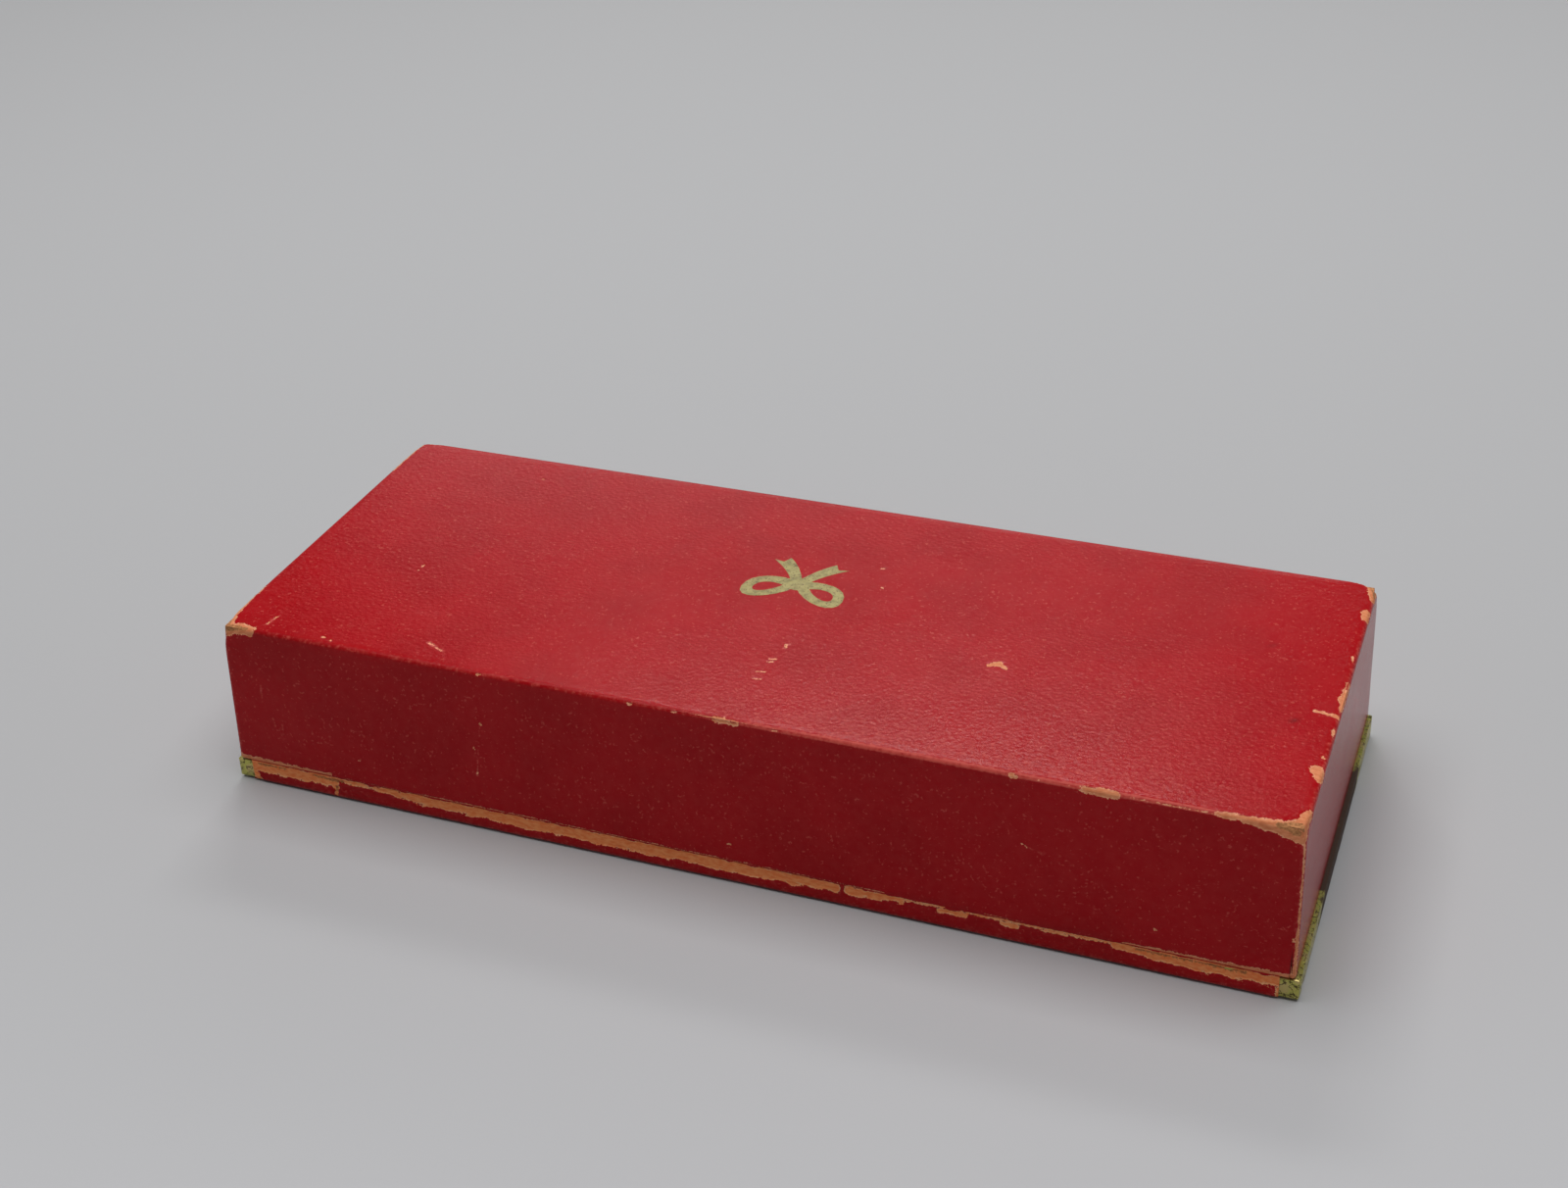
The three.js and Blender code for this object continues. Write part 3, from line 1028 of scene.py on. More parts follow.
def is_shown(face: BMFace) -> bool:
    """True for a face that isn't marked as hidden inside the box."""
    return face.material_index == 0


def all_shown(bm: BMesh) -> None:
    """Clears the marks that wrap() made."""
    for face in bm.faces:
        face.material_index = 0


# ---------------------------------------------------------------- The lid's covering


def crown(point: Sequence[float]) -> float:
    """How far the lid's top stands proud at a place, in millimetres, as its board has bowed a little."""
    x, y = point[0] / 100, point[1] / 40
    return 0.22 * max(0.0, 1 - x * x) * max(0.0, 1 - y * y) + 0.05 * ripple(point, 45.0, 3.0)


# The top's corners, how far each knock reaches and how deep it goes.
KNOCKED_CORNERS = (
    (Vector((99.3, BACK, TOP)), 6.5, 1.1),
    (Vector((-99.3, BACK, TOP)), 6.5, 0.9),
    (Vector((-99.3, -38.0, TOP)), 5.5, 0.8),
    (Vector((99.3, -38.0, TOP)), 5.0, 0.55),
)


def knock(point: Sequence[float]) -> Vector:
    """How far the lid has been knocked in at a place near one of its top corners.

    Args:
        point: The place, in millimetres.

    Returns:
        The move, in millimetres.
    """
    moved = Vector()
    for corner, reach, depth in KNOCKED_CORNERS:
        share = max(0.0, 1 - (Vector(point) - corner).length / reach)
        inwards = Vector((-math.copysign(1.0, corner.x), -math.copysign(1.0, corner.y), -0.8)).normalized()
        moved += inwards * depth * share * share * (1 + 0.45 * ripple(point, 2.2, 5.0))
    return moved


LID_CHIPS = (
    # the top's back corner at the right end, and along its two edges
    *strokes(
        (99.2, 38.6, 33.9, 93.2, 38.5, 33.8, 1.75, 0.95),
        (99.2, 37.6, 33.9, 99.0, 33.0, TOP, 1.4, 0.75),
        (99.0, 33.0, TOP, 98.9, 24.0, TOP, 0.75, 0.25),
        (96.2, 37.5, 34.2, 92.4, 37.6, 34.2, 0.9, 0.5),
        (99.4, 38.9, 33.2, 99.6, 39.0, 30.5, 0.7, 0.38),
        (99.5, 39.0, 29.4, 99.6, 39.1, 28.7, 0.42, 0.3),
        (99.5, 39.0, 28.7, 99.9, 39.6, 8.0, 0.12, 0.16),
        # front corner at the right end
        (98.9, -36.4, 34.1, 98.8, -24.5, TOP, 0.5, 0.18),
        (98.6, -37.3, 34.0, 92.5, -37.9, 34.0, 0.42, 0.15),
        # front corner at the left end
        (-98.9, -37.0, 33.8, -99.1, -32.4, 34.0, 1.5, 0.8),
        (-98.4, -37.6, 33.8, -95.4, -37.9, 33.9, 1.1, 0.4),
        (-98.4, -27.4, TOP, -98.9, -25.3, TOP, 0.95, 0.9),
        # along the top's edge at the left end
        (-98.4, -12.4, TOP, -98.7, -10.9, TOP, 0.22, 0.12),
        (-99.2, -4.2, 34.1, -98.8, 0.6, 34.1, 0.5, 0.85),
        (-98.8, 0.6, 34.1, -99.2, 4.2, 34.1, 0.85, 0.5),
        (-95.0, 5.9, 34.25, -99.3, 6.5, TOP, 0.34, 0.5),
        (-98.9, 10.6, TOP, -99.2, 12.4, TOP, 0.45, 0.2),
        (-98.3, 18.6, TOP, -98.8, 19.0, TOP, 0.3, 0.22),
        (-98.1, 22.3, TOP, -98.9, 24.5, 34.1, 1.15, 1.0),
        # the long wedge that ends in the back corner at the left end
        (-85.2, BACK, 34.0, -88.5, BACK, 33.9, 0.55, 0.62),
        (-88.5, BACK, 33.9, -93.5, BACK, 33.7, 0.62, 1.15),
        (-93.5, BACK, 33.7, -98.8, 38.3, 33.3, 1.15, 2.1),
        (-98.6, 37.6, 33.8, -98.9, 33.8, 34.1, 1.7, 0.7),
    ),
    # along the top's back edge
    *upright(
        BACK,
        (0.2, 33.9, -3.6, 33.8, 0.62, 0.5),
        (16.3, 33.9, 15.9, 33.9, 0.35, 0.3),
        (7.9, 33.9, 7.6, 33.9, 0.3, 0.25),
        (-10.4, 33.9, -10.8, 33.9, 0.34, 0.25),
        (45.8, 33.9, 45.3, 33.9, 0.3, 0.25),
        (-51.8, 33.9, -52.6, 33.8, 0.55, 0.45),
        (-63.9, 33.9, -69.0, 33.8, 0.75, 0.85),
    ),
    *strokes(
        (-71.5, 38.45, 33.9, -84.5, 38.45, 33.9, 0.16, 0.16),
        (-54.0, 38.45, 34.0, -62.0, 38.45, 34.0, 0.12, 0.1),
    ),
    # on the top
    *level(
        CROWN,
        (-39.5, 9.2, -40.9, 8.2, 0.45, 0.7),
        (-40.9, 8.2, -42.6, 9.4, 0.6, 0.3),
        (-3.3, 13.6, -3.6, 14.6, 0.3, 0.2),
        (-3.2, 18.6, -1.9, 18.9, 0.17, 0.12),
        (-3.0, 19.6, -2.0, 19.8, 0.15, 0.1),
        (-2.9, 22.9, -1.3, 23.2, 0.16, 0.1),
        (-3.2, 25.2, -1.6, 25.5, 0.15, 0.1),
        (73.3, 8.2, 73.5, 8.7, 0.25, 0.15),
        (73.5, 10.0, 73.6, 10.3, 0.2, 0.15),
        (66.9, -30.0, 66.6, -29.9, 0.22, 0.15),
        (-11.1, -16.4, -11.4, -16.3, 0.3, 0.25),
        (-13.3, -9.8, -13.7, -9.5, 0.2, 0.12),
    ),
    *level(
        TOP,
        (91.0, 35.6, 90.9, 35.0, 0.2, 0.15),
        (90.6, 33.4, 90.5, 32.8, 0.18, 0.13),
        (78.4, 36.3, 78.0, 36.4, 0.3, 0.2),
        (76.6, 36.9, 76.4, 37.0, 0.26, 0.2),
    ),
    *strokes(
        (58.6, 32.3, 34.3, 57.4, 32.8, 34.3, 0.22, 0.13),
        (56.8, 33.2, 34.3, 55.4, 33.9, 34.3, 0.18, 0.12),
        # on the back
        (46.3, 38.9, 23.4, 45.9, 38.9, 23.3, 0.22, 0.16),
        (48.1, 39.2, 18.2, 48.0, 39.2, 17.8, 0.16, 0.12),
        (47.8, 39.4, 13.1, 47.9, 39.4, 12.6, 0.18, 0.12),
        (73.0, 39.6, 9.9, 72.8, 39.6, 9.8, 0.16, 0.12),
        (-1.2, 39.6, 8.5, -1.9, 39.6, 8.4, 0.16, 0.1),
        (-54.0, 39.0, 20.9, -54.9, 39.0, 20.4, 0.13, 0.09),
        (-76.7, 39.6, 9.2, -77.0, 39.6, 9.0, 0.2, 0.14),
        # the cut end of the paper, down the back corner at the left end, and its lifted foot
        (-99.2, 38.2, 32.0, -99.55, 38.95, 16.0, 0.2, 0.22),
        (-99.55, 38.95, 16.0, -99.8, 39.45, 5.2, 0.26, 0.5),
        (-99.0, 39.6, 12.9, -99.1, 39.6, 12.4, 0.26, 0.2),
    ),
    # where the lid's foot has cracked off the hinge
    *upright(
        HINGE_FACE,
        (99.6, 5.2, 80.0, 5.0, 0.75, 0.5),
        (80.0, 4.8, 60.0, 4.75, 0.2, 0.3),
        (60.0, 4.8, -22.0, 4.75, 0.42, 0.34),
        (-72.0, 4.85, -99.5, 5.1, 0.45, 0.7),
        (-22.0, 4.9, -30.0, 5.0, 0.1, 0.12),
        (-48.0, 4.9, -54.0, 4.9, 0.2, 0.2),
    ),
)
LID_BOARD = strokes(
    (98.9, 38.2, 33.8, 94.0, 37.9, 34.0, 0.9, 0.35),
    (-98.9, -37.2, 33.7, -99.2, -34.0, 33.9, 0.9, 0.3),
    (-98.0, 38.0, 33.7, -94.8, 38.2, 33.9, 1.25, 0.5),
)
LID_SLIT = strokes((-99.05, 39.7, 12.2, -99.2, HINGE_FACE, 4.6, 0.14, 0.2))
SCUFFS = (
    *level(
        CROWN,
        (-62.8, 11.2, -64.6, 26.2, 0.1, 0.22),
        (58.8, 32.2, 54.4, 34.2, 0.55, 0.3),
        (91.0, 35.9, 90.2, 32.2, 0.4, 0.25),
        (-3.9, 13.4, -3.2, 14.9, 0.3, 0.25),
        (-3.4, 18.4, -2.2, 18.6, 0.25, 0.2),
        (-3.2, 22.7, -1.5, 23.0, 0.22, 0.2),
        (84.0, 36.6, 62.0, 24.0, 0.12, 0.04),
        (-20.0, 30.0, -26.0, 22.0, 0.06, 0.1),
    ),
    *strokes(
        (92.6, 38.9, 22.5, 92.2, 39.2, 17.0, 0.3, 0.15),
        (88.8, 39.3, 15.5, 89.4, 39.5, 11.5, 0.15, 0.3),
        (70.6, 39.1, 19.2, 69.4, 39.1, 18.6, 0.25, 0.15),
        (46.2, 38.9, 24.0, 48.0, 39.5, 12.0, 0.12, 0.2),
        (-54.0, 39.0, 20.9, -58.0, 39.0, 19.6, 0.12, 0.3),
        (-60.5, 39.0, 19.8, -63.4, 39.1, 18.2, 0.3, 0.1),
        (-66.0, 39.3, 15.0, -66.5, 39.6, 10.0, 0.06, 0.22),
        (-40.0, 39.3, 14.0, -41.5, 39.3, 13.6, 0.2, 0.1),
    ),
)
LID_SPOTS = level(
    TOP,
    (-92.5, 9.8, -92.8, 9.6, 0.35, 0.25),
    (54.4, 0.7, 54.0, 0.6, 0.3, 0.2),
    (-85.0, -12.0, -85.2, -12.1, 0.2, 0.15),
)


@dataclass
class LidCover:
    """The paper over the lid, turned in at its lower edge.

    Attributes:
        outline: The lid's outer faces.
        finish: Its material.
        paper: The paper's thickness, in millimetres.
        wall: Board and paper together, at the turn-in.
        turn_in: How far it runs up inside.
        step: Grid spacing, in metres.
        edge_radius: How round the lid's edges are, in metres.
    """

    outline: Outline
    finish: Material
    paper: float = 0.3
    wall: float = 2.7
    turn_in: float = 10.0
    step: float = 1.25 * MM
    edge_radius: float = 0.85 * MM

    def rings(self) -> list[Ring]:
        """The paper's section.

        Returns:
            Its rings, from the top down the outside and up the inside.
        """
        height = (self.outline.high.z - self.outline.low.z) / MM
        hidden = self.wall - self.paper
        return [
            Ring(0.0, height),
            Ring(0.0, 0.0),
            Ring(self.wall, 0.0),
            Ring(self.wall, self.turn_in),
            Ring(hidden, self.turn_in, shown=False),
            Ring(hidden, self.paper, shown=False),
            Ring(self.paper, self.paper, shown=False),
            Ring(self.paper, height - self.paper, shown=False),
        ]

    def build(self) -> Object:
        """Makes the piece.

        Returns:
            The new object.
        """
        bm = wrap(self.outline, self.rings())
        self._round(bm)
        spread_grid(bm, self.step, is_shown)
        all_shown(bm)
        chips = Wear(LID_CHIPS)
        refine_near(bm, chips, (1.3, 0.6))
        refine_near(bm, Wear(LID_SLIT + SCUFFS, ragged=0.0), (0.5,))
        self._age(bm, chips)
        return finish_piece("lid_cover", bm, self.finish, Body.LID, ["lid_cover_paper"])

    def _round(self, bm: BMesh) -> None:
        """Rounds the outer edges, and the foot's edges more tightly.

        Args:
            bm: The paper.
        """
        foot = self.outline.low.z
        centre = self.outline.centre.y
        half_depth = self.outline.high.y - centre
        outer = []
        for edge in bm.edges:
            ends = [v.co for v in edge.verts]
            at_end = all(abs(c.x) > self.outline.high.x - 1 * MM for c in ends)
            at_side = all(abs(c.y - centre) > half_depth - 2 * MM for c in ends)
            at_foot = all(abs(c.z - foot) < 0.01 * MM for c in ends)
            if (at_end or at_side) and not at_foot and all(is_shown(f) for f in edge.link_faces):
                outer.append(edge)
        round_edges(bm, outer, self.edge_radius, 4)
        low = [
            e for e in bm.edges
            if all(abs(v.co.z - foot) < 0.01 * MM for v in e.verts) and all(is_shown(f) for f in e.link_faces)
            and len({round(f.normal.z, 1) for f in e.link_faces}) > 1
        ]
        round_edges(bm, low, 0.22 * MM, 2)

    def _age(self, bm: BMesh, chips: Wear) -> None:
        """Bows, crushes and chips the paper, and writes the wear and the painted highlights to the mesh.

        Args:
            bm: The paper.
            chips: Where it is torn through.
        """
        bm.normal_update()
        bm.verts.ensure_lookup_table()
        points = points_of(bm.verts)
        bare = chips.field(points)
        board = Wear(LID_BOARD, ragged=0.25).field(points)
        slit = Wear(LID_SLIT, ragged=0.05).field(points)
        spots = Wear(LID_SPOTS, ragged=0.2).field(points)
        grime_and_shade = np.maximum(smooth_step(slit, -0.1, 0.1), 0.55 * smooth_step(spots, -0.2, 0.15))
        scuff = Wear(SCUFFS, ragged=0.3, wavelength=0.8).field(points)
        rub_and_sheen = np.maximum(self._rub_and_sheen(points), 0.6 * smooth_step(scuff, -0.3, 0.25))
        sink = 0.12 * smooth_step(bare, -0.1, 0.2) + 0.12 * smooth_step(board, -0.2, 0.5)
        sink += 0.25 * smooth_step(slit, -0.15, 0.1)
        layers = {name: bm.verts.layers.float.new(name) for name in ("bare", "board", "rub_and_sheen", "grime_and_shade")}
        for i, vert in enumerate(bm.verts):
            for name, value in (("bare", bare), ("board", board), ("rub_and_sheen", rub_and_sheen), ("grime_and_shade", grime_and_shade)):
                vert[layers[name]] = value[i]
            vert.co += vert.normal * (-sink[i] + self._warp(points[i], vert.normal)) * MM
            vert.co += knock(points[i]) * MM

    def _rub_and_sheen(self, points: np.ndarray) -> np.ndarray:
        """How rubbed each place is, most along the edges of the top and the upright corners,
        together with painted highlights on the top near its back edge.

        Args:
            points: The places, in millimetres.

        Returns:
            One value a place, from 0 to 1.
        """
        half_x = self.outline.high.x / MM - points[:, 2] / LID_HIGH * LEAN_X
        ends = half_x - np.abs(points[:, 0])
        leaned = np.clip(points[:, 2] - 4.85, 0, 30) / LID_HIGH * LEAN_Y
        sides = np.minimum(39.9 - points[:, 1], points[:, 1] + 39.5) - leaned
        top = TOP_FACE - points[:, 2]
        gaps = np.sort(np.stack([ends, sides, top], 1), axis=1)
        edge = 0.45 * (1 - smooth_step(gaps[:, 1], 0.1, 1.3)) * (1 - smooth_step(gaps[:, 0], 0.2, 0.6))
        # Painted highlight: a thin pale line along the top's back edge, from the left end to a little right
        # of the middle.
        painted_edge_sheen = smooth_step(points[:, 0], 30.0, -20.0) * (points[:, 1] > 35.0) * (top < 1.4)
        edge = np.maximum(edge, 0.8 * painted_edge_sheen * (1 - smooth_step(np.abs(gaps[:, 1] - 0.5), 0.1, 0.35)))
        # Painted highlight: the top paler towards its back edge, from near the left end to a little right of
        # the middle.
        painted_sheen = smooth_step(points[:, 1], 16.0, 38.0) * (top < 0.8)
        painted_sheen *= smooth_step(points[:, 0], -99.0, -72.0) * (1 - smooth_step(points[:, 0], -20.0, 45.0))
        return np.maximum(edge, 0.34 * painted_sheen)

    def _warp(self, point: np.ndarray, normal: Vector) -> float:
        """How far the face stands out at a place, in millimetres."""
        sides = 0.09 * ripple(point, 38.0, 9.0) + 0.02 * ripple(point, 7.0, 4.0)
        return crown(point) * max(0.0, normal.z) ** 4 + sides * (1 - abs(normal.z))


CREASE = upright(
    HINGE_FACE,
    (97.4, 3.7, 80.0, 3.7, 1.35, 1.25),
    (80.0, 4.35, 72.0, 4.3, 0.5, 0.42),
    (72.0, 4.3, 60.0, 3.75, 0.42, 1.1),
    (60.0, 3.7, 20.0, 3.6, 1.15, 1.3),
    (20.0, 3.6, -8.0, 3.7, 1.3, 1.2),
    (-8.0, 3.7, -21.0, 3.7, 1.2, 1.05),
    (-23.6, 3.8, -33.0, 4.0, 0.95, 0.55),
    (-33.0, 4.3, -41.0, 4.4, 0.3, 0.22),
    (-40.0, 3.7, -44.5, 3.7, 0.6, 0.45),
    (-44.0, 4.4, -72.0, 4.5, 0.2, 0.28),
    (-51.0, 3.8, -53.6, 3.7, 0.5, 0.4),
    (-58.0, 4.1, -66.0, 4.2, 0.2, 0.16),
    (-70.5, 4.0, -84.0, 3.8, 0.8, 1.15),
    (-84.0, 3.8, -97.5, 3.6, 1.15, 1.1),
    (79.0, 3.4, 79.3, 0.9, 0.7, 0.42),
    (97.5, 2.6, 96.6, 0.6, 0.95, 0.7),
    (-97.4, 2.4, -97.4, 0.6, 0.4, 0.35),
)
CREASE_BOARD = upright(
    HINGE_FACE,
    (96.0, 4.1, 90.0, 4.2, 0.35, 0.2),
    (84.0, 4.1, 77.5, 4.0, 0.25, 0.35),
    (-74.0, 4.2, -92.0, 4.1, 0.2, 0.28),
    (79.0, 2.6, 79.2, 1.6, 0.3, 0.15),
)


@dataclass
class HingePaper:
    """The covering paper's lower end, from behind the lid's foot over the base's edge to its flap.

    Attributes:
        outline: Where the CAD strip lies.
        lid_foot: Height of the lid's lower edge, in millimetres.
        finish: Its material.
        paper: Its thickness, in millimetres.
        tuck: How far it runs up behind the lid's covering.
        step: Grid spacing, in metres.
    """

    outline: Outline
    lid_foot: float
    finish: Material
    paper: float = 0.3
    tuck: float = 0.9
    step: float = 0.5 * MM

    def section(self) -> list[tuple[float, float]]:
        """The paper's section.

        Returns:
            Its (y, z) points in millimetres, outer face first.
        """
        back, foot = self.outline.high.y / MM, self.outline.low.z / MM
        flap = self.outline.low.y / MM
        behind = back - 0.16
        crest = self.lid_foot - 0.1
        turn = 0.35
        outer = [(flap, foot), (back - turn, foot), (back - 0.1, foot + 0.1), (back, foot + turn)]
        outer += [(back, crest), (behind, crest + 0.25), (behind - 0.06, crest + self.tuck)]
        inner = [(behind - 0.24, crest + self.tuck), (back - self.paper, crest)]
        inner += [(back - self.paper, foot + self.paper), (flap, foot + self.paper)]
        return outer + inner

    def build(self) -> Object:
        """Makes the piece.

        Returns:
            The new object.
        """
        bm = bmesh.new()
        x = self.outline.low.x
        face = bm.faces.new([bm.verts.new((x, y * MM, z * MM)) for y, z in self.section()])
        made = bmesh.ops.extrude_face_region(bm, geom=[face], use_keep_orig=True)["geom"]
        length = self.outline.high.x - x
        bmesh.ops.translate(bm, vec=(length, 0, 0), verts=[g for g in made if isinstance(g, BMVert)])
        bmesh.ops.recalc_face_normals(bm, faces=bm.faces)
        back = self.outline.high.y

        def outside(f: BMFace) -> bool:
            """True for the faces at the back."""
            return f.calc_center_median().y > back - 0.2 * MM and abs(f.normal.x) < 0.5

        spread_grid(bm, self.step, outside, 1 * MM)
        wear = Wear(CREASE, ragged=0.6, wavelength=0.9, stretch=2.6)
        refine_near(bm, wear, (0.5,))
        self._age(bm, wear)
        piece = finish_piece("hinge_paper", bm, self.finish, None, ["hinge_strip"])
        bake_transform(piece)
        return piece

    def _age(self, bm: BMesh, wear: Wear) -> None:
        """Frays the crease and writes the wear to the mesh, with the paper's foot darkened, partly by grime
        and partly as a painted contact shadow.

        Args:
            bm: The paper.
            wear: Where it is torn through.
        """
        bm.normal_update()
        bm.verts.ensure_lookup_table()
        points = points_of(bm.verts)
        bare = wear.field(points)
        board = Wear(CREASE_BOARD, ragged=0.3, wavelength=0.8, stretch=3.0).field(points)
        layers = {name: bm.verts.layers.float.new(name) for name in ("bare", "board", "rub_and_sheen", "grime_and_shade")}
        for i, vert in enumerate(bm.verts):
            x, y, z = points[i]
            outside = y > 39.4 and z < self.lid_foot
            lost = max(0.0, min(1.0, bare[i] / 0.2 + 0.5))
            deep = max(0.0, min(1.0, board[i] / 0.3 + 0.5))
            fibre = ripple((x / 4, y, z), 0.35, 2.0)
            if outside:
                vert.co.y -= (0.16 * lost + 0.12 * deep - 0.05 * lost * fibre) * MM
                vert.co.y -= 0.05 * (1 + ripple(points[i], 12.0, 8.0)) * MM
            vert[layers["bare"]] = bare[i] if outside else -4.0
            vert[layers["board"]] = board[i]
            vert[layers["rub_and_sheen"]] = 0.4 if z < 1.1 else 0.15
            # Darker towards the foot: partly grime, partly a painted contact shadow.
            vert[layers["grime_and_shade"]] = 0.3 * max(0.0, 1 - (z - 0.4) / 0.7)


# ---------------------------------------------------------------- Foil-covered base and collar


@dataclass(frozen=True)
class BrightPatch:
    """A place where the foil has kept its shine.

    Attributes:
        middle: Its middle, in millimetres.
        reach: How far it spreads, in millimetres.
    """

    middle: Point
    reach: float


def write_tarnish(
    bm: BMesh,
    patches: Sequence[BrightPatch],
    sheltered: Callable[[Vector], float],
    aged: Callable[[Vector], float],
) -> None:
    """Writes how tarnished the foil is to the mesh.

    Args:
        bm: The piece.
        patches: Where it has stayed bright.
        sheltered: Gives the most tarnish that a place can have.
        aged: Gives the least tarnish that it can have.
    """
    layer = bm.verts.layers.float.new("tarnish")
    for vert in bm.verts:
        point = vert.co / MM
        nearest = min((point - Vector(patch.middle)).length / patch.reach for patch in patches)
        worn = max(0.0, min(1.0, (nearest - 0.3) / 1.1 + 0.3 * ripple(point, 5.0, 2.0)))
        vert[layer] = min(max(worn, aged(point)), sheltered(point))


@dataclass
class BaseFoil:
    """The foil paper round the base board: a margin on top, its edge and a turn-under on three sides.

    Attributes:
        outline: The base's outer faces.
        finish: Its material.
        paper: The foil paper's thickness, in millimetres.
        top_margin: How far it runs in over the top.
        turn_under: How far it runs in below, except at the back.
        step: Grid spacing, in metres.
        bright: Where the foil has kept its shine.
    """

    outline: Outline
    finish: Material
    paper: float = 0.25
    top_margin: float = 14.0
    turn_under: float = 12.0
    step: float = 1.1 * MM
    bright: tuple[BrightPatch, ...] = (
        BrightPatch((-100.8, 33.0, 2.4), 14.0),
        BrightPatch((-100.8, 39.4, 2.4), 6.0),
        BrightPatch((-100.8, -37.0, 2.4), 15.0),
        BrightPatch((100.8, 39.4, 2.4), 7.5),
        BrightPatch((100.8, -39.6, 2.4), 9.0),
        BrightPatch((100.8, -12.0, 2.4), 9.0),
        BrightPatch((44.0, -39.8, 2.4), 22.0),
        BrightPatch((-58.0, -39.8, 2.4), 13.0),
    )

    def rings(self) -> list[Ring]:
        """The foil's section.

        Returns:
            Its rings, from the top's inner edge out, down, in below, and back inside.
        """
        height = (self.outline.high.z - self.outline.low.z) / MM
        t = self.paper
        return [
            Ring(self.top_margin, height),
            Ring(7.0, height),
            Ring(1.7, height),
            Ring(1.1, height),
            Ring(0.0, height),
            Ring(0.0, 0.0),
            Ring(self.turn_under, 0.0, back_inset=t),
            Ring(self.turn_under, t, shown=False, back_inset=t),
            Ring(t, t, shown=False),
            Ring(t, height - t, shown=False),
            Ring(self.top_margin, height - t, shown=False),
        ]

    def build(self) -> Object:
        """Makes the piece.

        Returns:
            The new object.
        """
        bm = wrap(self.outline, self.rings(), tube=True)
        round_edges(bm, open_folds(bm), 0.3 * MM, 2)
        spread_grid(bm, self.step, is_shown, 2 * MM)
        all_shown(bm)
        foot = self.outline.low.z / MM
        on_top = foot + 3.9
        covered_x = 99.4

        def sheltered(point: Vector) -> float:
            """Little tarnish on top, under the lid, and some below.

            Args:
                point: A place on the foil, in millimetres.

            Returns:
                The most tarnish there.
            """
            if point.z > on_top and abs(point.x) < covered_x and -38.9 < point.y < 39.2:
                return 0.06
            return 0.75 if point.z < foot + 0.1 else 1.0

        def aged(point: Vector) -> float:
            """No place on the open edge has stayed quite clean."""
            return 0.0 if point.z > on_top and abs(point.x) < covered_x else 0.32

        write_tarnish(bm, self.bright, sheltered, aged)
        self._crinkle(bm)
        return finish_piece("base_foil", bm, self.finish, Body.BASE, ["base_foil_wrap"])

    def _crinkle(self, bm: BMesh) -> None:
        """Wrinkles the edge, most at the corners, where the foil is folded round.

        Args:
            bm: The foil.
        """
        bm.normal_update()
        for vert in bm.verts:
            point = vert.co / MM
            corner = (Vector((abs(point.x), abs(point.y))) - Vector((100.8, 39.6))).length
            folded = max(0.0, 1 - corner / 9)
            rough = 0.04 * ripple(point, 3.0) + folded * (0.28 * ripple(point, 1.7, 5.0) - 0.06)
            if abs(vert.normal.z) < 0.9 or folded > 0:
                vert.co += vert.normal * rough * MM


@dataclass
class CollarFoil:
    """The foil paper over the collar that the lid slides on.

    Attributes:
        outline: The collar's outer faces.
        finish: Its material.
        paper: The foil paper's thickness, in millimetres.
        wall: Board and paper together.
        step: Grid spacing, in metres.
    """

    outline: Outline
    finish: Material
    paper: float = 0.25
    wall: float = 2.5
    step: float = 1.4 * MM

    def rings(self) -> list[Ring]:
        """The foil's section.

        Returns:
            Its rings, up the outside, over the top and down the inside.
        """
        height = (self.outline.high.z - self.outline.low.z) / MM
        inner = self.wall - self.paper
        return [
            Ring(0.0, 0.0),
            Ring(0.0, height),
            Ring(self.wall, height),
            Ring(self.wall, 0.0),
            Ring(inner, 0.0, shown=False),
            Ring(inner, height - self.paper, shown=False),
            Ring(self.paper, height - self.paper, shown=False),
            Ring(self.paper, 0.0, shown=False),
        ]

    def build(self) -> Object:
        """Makes the piece.

        Returns:
            The new object.
        """
        bm = wrap(self.outline, self.rings(), tube=True)
        round_edges(bm, open_folds(bm), 0.45 * MM, 3)
        spread_grid(bm, self.step, is_shown, 2 * MM)
        all_shown(bm)
        rim = self.outline.high.z / MM

        def sheltered(point: Vector) -> float:
            """A little tarnish everywhere, more along the rubbed rim."""
            return 0.16 + 0.14 * ripple(point, 9.0) if point.z > rim - 0.6 else 0.05

        layer = bm.verts.layers.float.new("tarnish")
        bm.normal_update()
        for vert in bm.verts:
            point = vert.co / MM
            vert[layer] = sheltered(point)
            vert.co += vert.normal * 0.035 * ripple(point, 6.0, 3.0) * MM
        return finish_piece("collar_foil", bm, self.finish, Body.BASE, ["collar_foil_wrap"])


# ---------------------------------------------------------------- The stamped emblem


